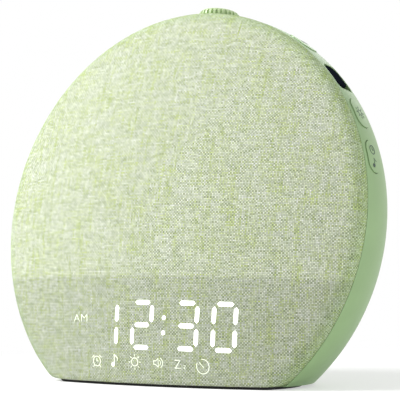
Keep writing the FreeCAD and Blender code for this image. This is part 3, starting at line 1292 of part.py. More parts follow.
os.makedirs("parts", exist_ok=True)
for item in nodes:
    item.Shape.exportStep(f"parts/{item.Label}.step")
    box = item.Shape.BoundBox
    print(f"{item.Label}: {len(item.Shape.Solids)} solid(s), {item.Shape.Volume:.1f} mm3, "
          f"x {box.XMin:.1f}..{box.XMax:.1f}, y {box.YMin:.1f}..{box.YMax:.1f}, "
          f"z {box.ZMin:.1f}..{box.ZMax:.1f}")
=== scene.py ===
import math

import bpy
from mathutils import Matrix, Vector


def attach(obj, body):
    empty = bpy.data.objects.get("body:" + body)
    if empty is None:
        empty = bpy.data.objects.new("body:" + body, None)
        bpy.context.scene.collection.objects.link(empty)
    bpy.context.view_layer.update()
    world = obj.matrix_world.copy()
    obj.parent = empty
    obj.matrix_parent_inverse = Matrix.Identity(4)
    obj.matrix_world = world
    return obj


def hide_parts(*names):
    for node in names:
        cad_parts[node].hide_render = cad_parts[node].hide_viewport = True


# Sunrise alarm clock: a cloth-faced dome on a moulded bowl, seen from its right.
# The front's own plane is millimetres across and up from the rim's centre, and forwards.
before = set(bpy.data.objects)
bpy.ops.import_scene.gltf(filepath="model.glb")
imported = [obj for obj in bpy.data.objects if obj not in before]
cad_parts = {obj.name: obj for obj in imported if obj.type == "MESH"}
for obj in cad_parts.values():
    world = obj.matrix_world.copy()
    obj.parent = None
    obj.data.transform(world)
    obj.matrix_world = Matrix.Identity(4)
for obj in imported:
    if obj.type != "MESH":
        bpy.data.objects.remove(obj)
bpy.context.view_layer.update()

MM = 0.001
LEAN = math.radians(11.1)
RIM_CENTRE = Vector((0, -0.00418, 0.06673))
RIM_RADIUS = 88
BULGE = 19
EDGE_ROUND = 5
UNDERSIDE = 65.53
CLOTH = 0.8
CLOTH_HEM = 2.6
SWELL_RADIUS = 88.5
CONTROL_DEPTH = 7.2

EDGE_RUN = RIM_RADIUS - EDGE_ROUND
DOME = (EDGE_RUN ** 2 + BULGE ** 2 - EDGE_ROUND ** 2) / (2 * (BULGE - EDGE_ROUND))
DOME_TURN = math.asin(EDGE_RUN / (DOME - EDGE_ROUND))
DOME_RUN = DOME * DOME_TURN
RIM_RUN = DOME_RUN + EDGE_ROUND * (math.pi / 2 - DOME_TURN)

FRONT = Matrix.Translation(RIM_CENTRE) @ Matrix((
    (MM, 0, 0, 0),
    (0, MM * math.sin(LEAN), -MM * math.cos(LEAN), 0),
    (0, MM * math.cos(LEAN), MM * math.sin(LEAN), 0),
    (0, 0, 0, 1),
))
FRONT_TURN = (math.pi / 2 - LEAN, 0, 0)


def dome_depth(x, y):
    """How far the dome stands ahead of the rim."""
    return BULGE - DOME + math.sqrt(DOME ** 2 - x ** 2 - y ** 2)


# Node trees, and sums with their sockets

class Wire:
    """A socket in a node tree, which can be added, multiplied and compared."""

    def __init__(self, graph, socket):
        self.graph = graph
        self.socket = socket

    def sum(self, operation, *others):
        values = dict(enumerate((self, *others)))
        return self.graph.node("Math", {"operation": operation}, values)

    def __add__(self, other):
        return self.sum("ADD", other)

    __radd__ = __add__

    def __sub__(self, other):
        return self.sum("SUBTRACT", other)

    def __rsub__(self, other):
        return (self * -1) + other

    def __mul__(self, other):
        return self.sum("MULTIPLY", other)

    __rmul__ = __mul__

    def __abs__(self):
        return self.sum("ABSOLUTE")

    def floor(self):
        return self.sum("FLOOR")

    def rest(self):
        return self.sum("FRACT")

    def wave(self):
        return self.sum("COSINE")

    def least(self, other):
        return self.sum("MINIMUM", other)

    def most(self, other):
        return self.sum("MAXIMUM", other)

    def ramp(self, low, high, start=0, end=1):
        """From start at low to end at high, eased."""
        settings = {"interpolation_type": "SMOOTHSTEP"}
        values = {"Value": self, "From Min": low, "From Max": high, "To Min": start, "To Max": end}
        return self.graph.node("MapRange", settings, values)


def set_stops(elements, stops):
    """Give a colour ramp its colours, each at its place."""
    while len(elements) < len(stops):
        elements.new(0.5)
    for element, (place, colour) in zip(elements, stops):
        element.position = place
        element.color = (*colour, 1)


class Graph:
    """A node tree, empty at first."""

    def __init__(self, tree):
        self.tree = tree
        self.tree.nodes.clear()

    def fill(self, socket, value):
        """Link a wire to a socket, or set the socket to a number or colour."""
        if isinstance(value, Wire):
            self.tree.links.new(value.socket, socket)
        elif isinstance(value, tuple) and len(value) == 3 and socket.type == "RGBA":
            socket.default_value = (*value, 1)
        else:
            socket.default_value = value

    def node(self, kind, settings=None, values=None, out=0):
        """A node of that kind, its settings made first, and one of its outputs."""
        made = self.tree.nodes.new(f"ShaderNode{kind}")
        for name, setting in (settings or {}).items():
            if name == "stops":
                set_stops(made.color_ramp.elements, setting)
            else:
                setattr(made, name, setting)
        for name, value in (values or {}).items():
            self.fill(made.inputs[name], value)
        return Wire(self, made.outputs[out]) if made.outputs else None

    def rays(self, *kinds):
        """One for rays of any of these kinds, nought for others."""
        path = self.node("LightPath").socket.node.outputs
        found = Wire(self, path[f"Is {kinds[0]} Ray"])
        for kind in kinds[1:]:
            found = found.most(Wire(self, path[f"Is {kind} Ray"]))
        return found


class Finish(Graph):
    """A material and its nodes."""

    def __init__(self, name):
        self.material = bpy.data.materials.new(name)
        self.material.use_nodes = True
        super().__init__(self.material.node_tree)

    def place(self, scale=(1, 1, 1), turn=(0, 0, 0), uv=""):
        """The piece's own coordinates in metres, or those of a named map, scaled and turned."""
        if uv:
            start = self.node("UVMap", {"uv_map": uv})
        else:
            start = self.node("TexCoord", out="Object")
        return self.node("Mapping", {}, {"Vector": start, "Rotation": turn, "Scale": scale})

    def axes(self, vector):
        parts = self.node("SeparateXYZ", {}, {0: vector})
        return tuple(Wire(self, socket) for socket in parts.socket.node.outputs)

    def vector(self, x, y, z=0):
        return self.node("CombineXYZ", {}, {0: x, 1: y, 2: z})

    def length(self, vector):
        return self.node("VectorMath", {"operation": "LENGTH"}, {0: vector}, out=1)

    def noise(self, where, scale, detail=2, roughness=0.5):
        values = {"Vector": where, "Scale": scale, "Detail": detail, "Roughness": roughness}
        return self.node("TexNoise", {}, values)

    def mix(self, share, first, second, blend="MIX"):
        """Two colours mixed."""
        settings = {"data_type": "RGBA", "blend_type": blend}
        return self.node("Mix", settings, {0: share, 6: first, 7: second}, out=2)

    def tint(self, share, base, colour):
        """A colour multiplied by another, by a share."""
        return self.mix(share, base, self.mix(1.0, base, colour, "MULTIPLY"))

    def blend(self, share, first, second):
        """Two numbers mixed."""
        return self.node("Mix", {"data_type": "FLOAT"}, {0: share, 2: first, 3: second})

    def bump(self, height, distance, strength=1.0):
        values = {"Height": height, "Distance": distance, "Strength": strength}
        return self.node("Bump", {}, values)

    def surface(self, **values):
        """The finished surface, from the shader's sockets by name."""
        sockets = {name.replace("_", " "): value for name, value in values.items()}
        shader = self.node("BsdfPrincipled", {}, sockets)
        self.node("OutputMaterial", {}, {"Surface": shader})
        return self.material


def paint(red, green, blue):
    """A screen colour of 0 to 255 as the shader needs it."""
    parts = []
    for part in (red, green, blue):
        share = part / 255
        parts.append(share / 12.92 if share <= 0.04045 else ((share + 0.055) / 1.055) ** 2.4)
    return tuple(parts)


def shade(colour, amount):
    """A colour made darker or lighter."""
    return tuple(part * amount for part in colour)


# Finishes: widths are in metres, and scales are in waves a metre

GRAIN = 0.0003
GRAIN_RELIEF = 0.00002
BROAD = 60
DRAWN_MARKS = (40, 40, 900)
DRAWN_RELIEF = 0.00001
STAINS = 130
DUST = 90
TRACKS = 420
TRACK_ROWS = 300
TRACK_BENDS = 70
TRACK_RELIEF = 0.00003
CLOUDS = 900


def moulded(name, colour, roughness, gleam=0.5):
    """Moulded plastic with a fine spark-eroded texture and slight unevenness."""
    finish = Finish(name)
    here = finish.place()
    fine = finish.noise(here, 1 / GRAIN, 2)
    broad = finish.noise(here, BROAD, 3)
    base = finish.mix(broad.ramp(0.3, 0.7), shade(colour, 0.96), shade(colour, 1.03))
    base = finish.mix(fine.ramp(0.3, 0.75) * 0.16, base, shade(colour, 0.9))
    return finish.surface(
        Base_Color=base, Roughness=fine * 0.08 + (roughness - 0.04) + (broad - 0.5) * 0.08,
        Normal=finish.bump(fine, GRAIN_RELIEF), Specular_IOR_Level=gleam)


def plated(name, colour, roughness):
    """Metal with fine marks that run one way."""
    finish = Finish(name)
    marks = finish.noise(finish.place(DRAWN_MARKS), 1, 3)
    stains = finish.noise(finish.place(), STAINS, 2)
    base = finish.mix(stains.ramp(0.35, 0.7), shade(colour, 0.85), colour)
    return finish.surface(
        Base_Color=base, Metallic=1.0, Roughness=marks * 0.2 + roughness,
        Normal=finish.bump(marks, DRAWN_RELIEF))


def porous(name, colour, roughness, pore):
    """Rubber, foam, pressed paper or ink with open pores."""
    finish = Finish(name)
    here = finish.place()
    pores = finish.noise(here, 1 / pore, 4, 0.6)
    dust = finish.noise(here, DUST, 3)
    base = finish.mix(dust.ramp(0.4, 0.75) * 0.5, colour, shade(colour, 1.9))
    return finish.surface(
        Base_Color=base, Roughness=pores * 0.15 + roughness - 0.07,
        Normal=finish.bump(pores, pore * 0.2))


def resist(name, colour):
    """Circuit board with paler copper tracks under its lacquer."""
    finish = Finish(name)
    x, y, _ = finish.axes(finish.place(turn=FRONT_TURN))
    bend = finish.noise(finish.place(), TRACK_BENDS, 1)
    track = abs(((x + bend * 0.02) * TRACKS).rest() - 0.5).ramp(0.12, 0.2)
    row = abs(((y + bend * 0.015) * TRACK_ROWS).rest() - 0.5).ramp(0.1, 0.2)
    lanes = track.least(row)
    base = finish.mix(lanes, shade(colour, 1.7), colour)
    return finish.surface(Base_Color=base, Roughness=lanes * 0.1 + 0.3,
                          Normal=finish.bump(lanes, TRACK_RELIEF))


def lit(name, colour, strength):
    """Milky plastic with light behind it."""
    finish = Finish(name)
    cloud = finish.noise(finish.place(), CLOUDS, 2)
    glow = finish.mix(cloud, shade(colour, 0.9), colour)
    return finish.surface(Base_Color=colour, Emission_Color=glow,
                          Emission_Strength=strength, Roughness=cloud * 0.1 + 0.35)


# The cloth's colours and its weave, which runs over the piece's map named weave

PITCH = 0.7 * MM
ROW_PITCH = 0.66 * MM
SWAY = 1.5
ARCH = 2.2
SLUBS = 0.09
GATHERS = 0.045
OWN_SHARE = 0.55
CLOTH_RELIEF = 0.00013
YARN_COLOURS = (
    (0.37, paint(196, 216, 108)), (0.44, paint(221, 232, 176)), (0.49, paint(231, 238, 214)),
    (0.56, paint(238, 242, 230)), (0.64, paint(247, 248, 252)),
)
GREY_YARN = paint(186, 194, 184)
PALE_YARN = paint(236, 239, 232)
DULL_YARN = paint(142, 155, 116)
# Painted shade in the dips between the yarns.
GAP_SHADE_COLOUR = paint(118, 128, 98)
DISPLAY_TOP = -27 * MM
DISPLAY_FADE = 2 * MM
DISPLAY_TINT = paint(236, 236, 238)
# Painted bounce light near the cloth's edge: where it starts and ends, and its green tint.
PAINTED_BOUNCE_REACH = (82 * MM, 93 * MM)
PAINTED_BOUNCE_TINT = paint(231, 246, 216)


def crossing_height(finish, over, side, rise):
    """Height of the yarn on top, from the middle of its crossing sideways and upwards."""
    warp = (side * math.pi).wave() * (rise * ARCH).wave()
    weft = (rise * math.pi).wave() * (side * ARCH).wave()
    return finish.blend(over, weft, warp)


def yarn(finish, index, run, seed):
    """Slubs along one yarn, and lengths that gather in neighbouring yarns."""
    own = finish.noise(finish.vector(run * SLUBS, index * 1.7, seed), 1, 3, 0.6)
    shared = finish.noise(finish.vector(run * GATHERS, index * 0.42, seed + 9), 1, 2)
    return own * OWN_SHARE + shared * (1 - OWN_SHARE)


def woven(name):
    """Plain melange cloth: each yarn changes colour along its own length."""
    finish = Finish(name)
    u, v, _ = finish.axes(finish.place((1 / PITCH, 1 / ROW_PITCH, 1), uv="weave"))
    drift = finish.noise(finish.vector(u * 0.02, v * 0.02), 1, 2)
    sway = (drift - 0.5) * SWAY
    across = u + sway
    along = v + sway
    column, row = across.floor(), along.floor()
    over = ((column + row) * 0.5).rest().sum("GREATER_THAN", 0.25)
    under = 1 - over
    height = crossing_height(finish, over, across - column - 0.5, along - row - 0.5)

    weft = yarn(finish, row, across, 3.1)
    warp = yarn(finish, column, along, 17.7)
    tone = finish.blend(over, weft, warp * 0.7 + 0.15)
    base = finish.node("ValToRGB", {"stops": YARN_COLOURS}, {0: tone})
    grey = finish.noise(finish.vector(across * 0.15, row * 2.3, 31.0), 1, 2).ramp(0.55, 0.7)
    base = finish.mix(grey * under * 0.6, base, GREY_YARN)
    pale = finish.noise(finish.vector(column * 0.9, along * 0.08, 47.0), 1, 3).ramp(0.57, 0.72)
    base = finish.mix(pale * over * 0.6, base, PALE_YARN)
    crossing = finish.node("TexWhiteNoise", {"noise_dimensions": "2D"},
                           {"Vector": finish.vector(column, row)})
    dull = finish.noise(finish.vector(across * 0.12, row * 3.1, 77.0), 1, 2).ramp(0.45, 0.65)
    base = finish.mix(crossing * 0.5 + under * (dull * 0.35 + 0.25), base, DULL_YARN)
    # Painted shade: the colour darkens where the yarns dip between their crossings.
    base = finish.mix(height.ramp(0.05, 0.6, 0.3, 1), GAP_SHADE_COLOUR, base)

    below = v.ramp(DISPLAY_TOP / ROW_PITCH, (DISPLAY_TOP + DISPLAY_FADE) / ROW_PITCH, 1, 0)
    base = finish.tint(below, base, DISPLAY_TINT)
    # Painted bounce light: the cloth is tinted greener towards its edge, as green light thrown back
    # from the rim would tint it.
    reach = finish.length(finish.place(uv="weave"))
    base = finish.tint(reach.ramp(*PAINTED_BOUNCE_REACH), base, PAINTED_BOUNCE_TINT)
    fibres = finish.noise(finish.vector(u * 5, v * 5), 1, 2)
    return finish.surface(
        Base_Color=base, Roughness=fibres * 0.1 + 0.8, Specular_IOR_Level=0.2,
        Normal=finish.bump(height + fibres * 0.15, CLOTH_RELIEF, 0.7))


def through_cloth(name, colour, strength):
    """Light from the display, broken slightly by the yarns it shines through."""
    finish = Finish(name)
    x, y, _ = finish.axes(finish.place(turn=FRONT_TURN))
    yarns = (x * (math.tau / PITCH)).wave() * (y * (math.tau / PITCH)).wave()
    glow = finish.mix(yarns.ramp(-1, 1), shade(colour, 0.95), colour)
    return finish.surface(Base_Color=colour, Emission_Color=glow,
                          Emission_Strength=strength, Roughness=yarns * 0.05 + 0.7)


SAGE = paint(146, 177, 125)
green = moulded("satin_green", SAGE, 0.42)
key_green = moulded("key_green", shade(SAGE, 1.04), 0.36)
knob_green = moulded("knob_green", paint(190, 210, 162), 0.38)
cloth = woven("sage_melange")
opal = moulded("opal_shell", paint(238, 238, 232), 0.4)
smoke = moulded("smoked_window", paint(70, 72, 70), 0.12)
black = moulded("black_moulded", paint(34, 34, 36), 0.45)
cap_black = moulded("cap_black", paint(25, 29, 38), 0.6, gleam=0.0)
tray_white = moulded("tray_white", paint(236, 236, 230), 0.5)
guide = lit("light_guides", paint(250, 252, 246), 1.0)
phosphor = moulded("phosphor", paint(240, 218, 130), 0.3)
lacquer = resist("board_lacquer", paint(24, 92, 60))
rubber = porous("foot_rubber_finish", paint(26, 26, 26), 0.8, 0.0004)
foam = porous("speaker_foam", paint(30, 30, 30), 0.95, 0.0008)
paper = porous("cone_paper_finish", paint(40, 38, 36), 0.85, 0.0005)
ferrite = porous("ferrite", paint(58, 58, 60), 0.6, 0.0003)
zinc = plated("zinc_screws", paint(190, 190, 194), 0.25)
tinned = plated("plated_cases", paint(205, 205, 205), 0.3)
nickel = plated("cell_nickel", paint(214, 214, 212), 0.15)
turned_metal = plated("turned_aluminium", paint(206, 206, 208), 0.25)
brass = plated("contact_brass_finish", paint(214, 178, 100), 0.2)
amber = moulded("amber_strip", paint(196, 120, 34), 0.25)
basket = moulded("basket_paint", paint(38, 38, 38), 0.4)
ink = porous("key_ink", paint(62, 78, 72), 0.6, 0.0002)
display_light = through_cloth("display_light", paint(252, 254, 250), 1.0)
faint_light = through_cloth("faint_light", paint(240, 246, 228), 0.35)

NODE_FINISH = {
    "front_shell": opal, "display_window": smoke, "display_mask": black,
    "display_segments": guide, "display_board": lacquer, "light_tray": tray_white,
    "light_board": lacquer, "light_leds": phosphor, "rear_housing": green, "base_foot": rubber,
    "housing_screws": zinc, "control_bracket": tray_white, "bracket_screws": zinc,
    "control_strip": amber, "button_upper": key_green, "button_middle": key_green,
    "button_lower": key_green, "tact_plunger_upper": black, "tact_plunger_middle": black,
    "tact_plunger_lower": black, "tact_switches": tinned, "slide_cap": cap_black,
    "slide_switch": tinned, "knob": knob_green, "encoder_shaft": turned_metal,
    "encoder_body": tinned, "encoder_plunger": black, "encoder_board": lacquer,
    "encoder_washer": zinc, "encoder_nut": nickel, "speaker_gasket": foam,
    "speaker_frame": basket, "speaker_magnet": ferrite, "speaker_cone": paper,
    "speaker_surround": foam, "speaker_screws": zinc, "inlet_socket": black,
    "inlet_pin": brass, "inlet_nut": nickel, "battery_door": green,
    "battery_door_screw": zinc, "battery_holder": black, "coin_cell": nickel,
    "main_board": lacquer, "board_screws": zinc, "board_chips": black, "front_fabric": cloth,
}


def coat(piece, material):
    """Give a piece one finish and no other."""
    piece.data.materials.clear()
    piece.data.materials.append(material)


for name, material in NODE_FINISH.items():
    coat(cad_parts[name], material)


def finished(piece, body, material):
    """Give a piece its finish and the body it moves with."""
    coat(piece, material)
    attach(piece, body)
    return piece


# Cloth over the front: it follows the dome, goes round the rim's edge and under the flat

FLAT_EASE = 2.4
SHEET_WALL = 0.7
WIDE_STEP = 2.5
FINE_STEP = 0.8


def cloth_point(run):
    """Reach and depth of the cloth at a run from the dome's middle."""
    if run < DOME_RUN:
        turn = run / DOME
        return DOME * math.sin(turn), BULGE - DOME * (1 - math.cos(turn))
    if run < RIM_RUN:
        turn = DOME_TURN + (run - DOME_RUN) / EDGE_ROUND
        return EDGE_RUN + EDGE_ROUND * math.sin(turn), EDGE_ROUND * math.cos(turn)
    if run < RIM_RUN + CLOTH:
        return RIM_RADIUS, RIM_RUN - run
    return RIM_RADIUS - (run - RIM_RUN - CLOTH), -CLOTH


def eased_least(first, second, ease):
    """The smaller of two numbers, with a rounded change from one to the other."""
    near = max(ease - abs(first - second), 0) / ease
    return min(first, second) - near * near * ease / 4


def cut_flat(reach, depth, up):
    """Reach of the cloth where the flat underside holds it back, which is low down only."""
    if up >= -0.5:
        return reach
    flat = (UNDERSIDE + depth * math.sin(LEAN)) / (-up * math.cos(LEAN))
    tucked = RIM_RADIUS - reach if depth == -CLOTH else 0
    return eased_least(reach + tucked, flat, FLAT_EASE) - tucked


def cloth_sheet(name, segments=288):
    """The cloth as a sheet of rings, with a map of the run along the cloth."""
    hem = RIM_RUN + CLOTH + CLOTH_HEM
    runs = [WIDE_STEP * step for step in range(1, 21)]
    while runs[-1] < hem - FINE_STEP / 2:
        runs.append(runs[-1] + FINE_STEP)
    points = [FRONT @ Vector((0, 0, BULGE))]
    lengths = [(0.0, 0.0)]
    for segment in range(segments):
        turn = math.tau * segment / segments
        across, up = math.sin(turn), math.cos(turn)
        before = (0.0, BULGE)
        length = 0.0
        for run in runs:
            reach, depth = cloth_point(run)
            reach = cut_flat(reach, depth, up)
            length += math.dist(before, (reach, depth))
            before = (reach, depth)
            points.append(FRONT @ Vector((reach * across, reach * up, depth)))
            lengths.append((length * across * MM, length * up * MM))
    rings = len(runs)

    def spot(segment, ring):
        return 1 + (segment % segments) * rings + ring

    faces = []
    for segment in range(segments):
        faces.append((0, spot(segment + 1, 0), spot(segment, 0)))
        for ring in range(rings - 1):
            faces.append((spot(segment, ring), spot(segment + 1, ring),
                          spot(segment + 1, ring + 1), spot(segment, ring + 1)))
    mesh = bpy.data.meshes.new(name)
    mesh.from_pydata(points, [], faces)
    mesh.shade_smooth()
    layer = mesh.uv_layers.new(name="weave")
    for loop in mesh.loops:
        layer.data[loop.index].uv = lengths[loop.vertex_index]
    sheet = bpy.data.objects.new(name, mesh)
    bpy.context.scene.collection.objects.link(sheet)
    wall = sheet.modifiers.new("thickness", "SOLIDIFY")
    wall.thickness = SHEET_WALL * MM
    wall.offset = -1
    return sheet


front_cloth = finished(cloth_sheet("front_cloth"), "housing", cloth)
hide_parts("front_fabric")


# Marks: flat strokes in millimetres, then laid on the surface that carries them

def alone():
    """Nothing left selected."""
    bpy.ops.object.select_all(action="DESELECT")


def baked(piece):
    """Apply a piece's place to its mesh."""
    alone()
    piece.select_set(True)
    bpy.context.view_layer.objects.active = piece
    bpy.ops.object.transform_apply(location=True, rotation=True, scale=True)


def copied(piece, x, y, turn):
    """A copy with its own mesh."""
    twin = piece.copy()
    twin.data = piece.data.copy()
    twin.location = (x, y, 0)
    twin.rotation_euler = (0, 0, turn)
    bpy.context.scene.collection.objects.link(twin)
    return twin


def disc(x, y, radius, corners=20):
    alone()
    bpy.ops.mesh.primitive_circle_add(
        vertices=corners, radius=radius, fill_type="NGON", location=(x, y, 0))
    return bpy.context.object


def bar(start, end, width):
    """A stroke with round ends."""
    reach = math.dist(start, end)
    piece = disc(0, 0, width / 2, 12)
    for vertex in piece.data.vertices:
        if vertex.co.x > 0.001 * width:
            vertex.co.x += reach
    piece.rotation_euler = (0, 0, math.atan2(end[1] - start[1], end[0] - start[0]))
    piece.location = (*start, 0)
    return piece


def bars(x, y, width, *ends):
    """Strokes whose ends, four numbers each, are measured from a middle."""
    return [bar((x + across, y + up), (x + end_across, y + end_up), width)
            for across, up, end_across, end_up in ends]


def ring(x, y, radius, width, gap=None):
    """A round line, open between two angles where a gap is given."""
    piece = disc(x, y, radius + width / 2, 40)
    bpy.ops.object.mode_set(mode="EDIT")
    bpy.ops.mesh.select_all(action="SELECT")
    bpy.ops.mesh.inset(thickness=width)
    bpy.ops.mesh.delete(type="FACE")
    bpy.ops.object.mode_set(mode="OBJECT")
    if gap:
        for face in piece.data.polygons:
            angle = math.degrees(math.atan2(face.center.y, face.center.x)) % 360
            face.select = gap[0] < angle < gap[1]
        bpy.ops.object.mode_set(mode="EDIT")
        bpy.ops.mesh.delete(type="FACE")
        bpy.ops.object.mode_set(mode="OBJECT")
    return piece


def letters(text, x, y, height, thicken):
    """Plain lettering about a middle, as a mesh."""
    alone()
    bpy.ops.object.text_add(location=(0, 0, 0))
    piece = bpy.context.object
    piece.data.body = text
    piece.data.size = height / 0.7
    piece.data.align_x = "CENTER"
    piece.data.align_y = "CENTER"
    piece.data.offset = thicken
    piece.data.resolution_u = 4
    bpy.ops.object.convert(target="MESH")
    piece = bpy.context.object
    piece.location = (x, y, 0)
    return piece


def joined(name, pieces, thickness):
    """One piece from flat strokes, with a little thickness."""
    for piece in pieces:
        baked(piece)
    alone()
    for piece in pieces:
        piece.select_set(True)
    bpy.context.view_layer.objects.active = pieces[0]
    bpy.ops.object.join()
    whole = bpy.context.object
    whole.name = name
    whole.data.name = name
    wall = whole.modifiers.new("thickness", "SOLIDIFY")
    wall.thickness = thickness
    wall.offset = 0
    bpy.ops.object.modifier_apply(modifier=wall.name)
    return whole


def on_front(piece, lift):
    """Lay flat marks on the dome."""
    for vertex in piece.data.vertices:
        x, y, z = vertex.co
        vertex.co = FRONT @ Vector((x, y, dome_depth(x, y) + lift + z))
    piece.data.update()
    return piece


def on_rim(piece, angle, lift):
    """Lay flat marks on a key: x to the back, y towards the top."""
    turn = math.radians(angle)
    for vertex in piece.data.vertices:
        x, y, z = vertex.co
        reach = SWELL_RADIUS + lift + z
        vertex.co = FRONT @ Vector((
            reach * math.sin(turn) - y * math.cos(turn),
            reach * math.cos(turn) + y * math.sin(turn),
            -CONTROL_DEPTH - x,
        ))
    piece.data.update()
    return piece


LIGHT_THICKNESS = 0.1
LIGHT_LIFT = 0.05
DIGIT_HEIGHT = 17.8
DIGIT_WIDTH = 9.4
STROKE = 1.85
STROKE_GAP = 2.0
STROKE_ROUND = 0.12
SLANT = math.tan(math.radians(3.8))
DIGIT_Y = -45.5
DIGIT_PLACES = (-20.3, -2.6, 18.7, 35.6)
COLON_RADIUS = 0.9


def stroke(length):
    """One upright bar of a digit, pointed at both ends."""
    piece = disc(0, 0, STROKE, 6)
    for vertex in piece.data.vertices:
        vertex.co.x *= 0.5 / math.cos(math.pi / 6)
        vertex.co.y += math.copysign(length / 2 - STROKE, vertex.co.y)
    bpy.ops.object.mode_set(mode="EDIT")
    bpy.ops.mesh.select_all(action="SELECT")
    bpy.ops.mesh.bevel(offset=STROKE_ROUND, segments=2, affect="VERTICES")
    bpy.ops.object.mode_set(mode="OBJECT")
    return piece


def time_marks():
    """12:30, from bars that are copied and then slanted together."""
    upright = stroke(DIGIT_HEIGHT / 2 - STROKE_GAP)
    level = stroke(DIGIT_WIDTH - STROKE_GAP)
    half, quarter = DIGIT_WIDTH / 2, DIGIT_HEIGHT / 4
    segments = {
        "top": (level, 0, 2 * quarter, math.pi / 2), "middle": (level, 0, 0, math.pi / 2),
        "bottom": (level, 0, -2 * quarter, math.pi / 2), "upper_right": (upright, half, quarter, 0),
        "lower_right": (upright, half, -quarter, 0), "upper_left": (upright, -half, quarter, 0),
        "lower_left": (upright, -half, -quarter, 0),
    }
    one = ("upper_right", "lower_right")
    two = ("top", "upper_right", "middle", "lower_left", "bottom")
    three = ("top", "upper_right", "middle", "lower_right", "bottom")
    nought = ("top", "upper_right", "lower_right", "bottom", "lower_left", "upper_left")
    marks = []
    for x, digit in zip(DIGIT_PLACES, (one, two, three, nought)):
        for name in digit:
            piece, across, up, turn = segments[name]
            marks.append(copied(piece, x + across, up, turn))
    colon = (DIGIT_PLACES[1] + DIGIT_PLACES[2]) / 2
    for side in (-1, 1):
        marks.append(disc(colon, side * DIGIT_HEIGHT / 6, COLON_RADIUS, 16))
    for piece in (upright, level):
        bpy.data.objects.remove(piece)
    whole = joined("time_marks", marks, LIGHT_THICKNESS)
    for vertex in whole.data.vertices:
        vertex.co.x += vertex.co.y * SLANT
        vertex.co.y += DIGIT_Y
    return on_front(whole, LIGHT_LIFT)


SYMBOL_LINE = 0.3
NOTE_LINE = 0.4
SYMBOL_ROW = -60.2
SYMBOL_PLACES = (-26.8, -17.1, -6.6, 4.8, 25.8)
TIMER_DROP = 0.75
MORNING_PLACE = (-35.6, -43.1)
MORNING_HEIGHT = 3.2
MORNING_WIDEN = 1.3
LARGE_THIN = -0.07
SMALL_THIN = -0.04
SLEEP_LETTERS = (("Z", 14.4, 0.5, 3.6, LARGE_THIN), ("z", 17.6, 1.1, 2.3, SMALL_THIN))
SPEAKER_OUTLINE = ((-1.9, -0.7), (-1.9, 0.7), (-0.9, 0.7), (0.3, 1.7), (0.3, -1.7), (-0.9, -0.7))
SOUND_GAP = (50, 310)


def alarm_sign(x, y):
    """A clock with two hands, two bells and two feet."""
    return [ring(x, y, 1.95, SYMBOL_LINE), *bars(
        x, y, SYMBOL_LINE,
        (0, 0, 0, 1.1), (0, 0, 0.8, 0),
        (-2.5, 1.5, -1.5, 2.3), (1.5, 2.3, 2.5, 1.5),
        (-1.5, -1.6, -2.0, -2.3), (1.5, -1.6, 2.0, -2.3),
    )]


def note_sign(x, y):
    """A note with its flag."""
    head = disc(x - 0.9, y - 1.2, 0.95)
    stem_and_flag = bars(x, y, NOTE_LINE, (-0.1, -1.2, -0.1, 2.8), (-0.1, 2.8, 1.6, 1.3))
    return [head, *stem_and_flag, *bars(x, y, SYMBOL_LINE, (1.6, 1.3, 1.3, 0.3))]


def sun_sign(x, y, radius, line):
    """A sun with eight rays."""
    marks = [ring(x, y, radius, line)]
    for index in range(8):
        turn = math.tau * index / 8
        across, up = math.cos(turn), math.sin(turn)
        inner, outer = radius + 0.7, radius + 1.4
        marks += bars(x, y, line, (inner * across, inner * up, outer * across, outer * up))
    return marks


def speaker_sign(x, y):
    """A speaker with two waves of sound."""
    ends = zip(SPEAKER_OUTLINE, SPEAKER_OUTLINE[1:] + SPEAKER_OUTLINE[:1])
    marks = bars(x, y, SYMBOL_LINE, *((*start, *end) for start, end in ends))
    return marks + [ring(x + 0.1, y, radius, SYMBOL_LINE, SOUND_GAP) for radius in (1.3, 2.3)]


def timer_sign(x, y):
    """A dial open at its upper left, with a hand through the gap."""
    return [ring(x, y, 2.8, SYMBOL_LINE, (95, 150)),
            *bars(x, y, SYMBOL_LINE, (-1.5, 1.5, 0.4, -0.4))]


def sleep_sign(y):
    """Two letters, given by place, drop below the row, height and thinning."""
    return [letters(letter, place, y - drop, height, thin)
            for letter, place, drop, height, thin in SLEEP_LETTERS]


def symbol_marks():
    """The morning sign beside the time, and the row of signs below it."""
    morning = letters("AM", *MORNING_PLACE, MORNING_HEIGHT, LARGE_THIN)
    morning.scale = (MORNING_WIDEN, 1, 1)
    alarm, note, sun, speaker, timer = SYMBOL_PLACES
    marks = [
        morning, *alarm_sign(alarm, SYMBOL_ROW), *note_sign(note, SYMBOL_ROW),
        *sun_sign(sun, SYMBOL_ROW, 1.6, SYMBOL_LINE), *speaker_sign(speaker, SYMBOL_ROW),
        *sleep_sign(SYMBOL_ROW), *timer_sign(timer, SYMBOL_ROW - TIMER_DROP),
    ]
    return on_front(joined("symbol_marks", marks, LIGHT_THICKNESS), LIGHT_LIFT)


KEY_LINE = 0.35
KEY_PRINT = 0.06
KEY_LIFT = 0.35
UPPER_KEY = 33.3
MIDDLE_KEY = 60.7
LOWER_KEY = 73.3


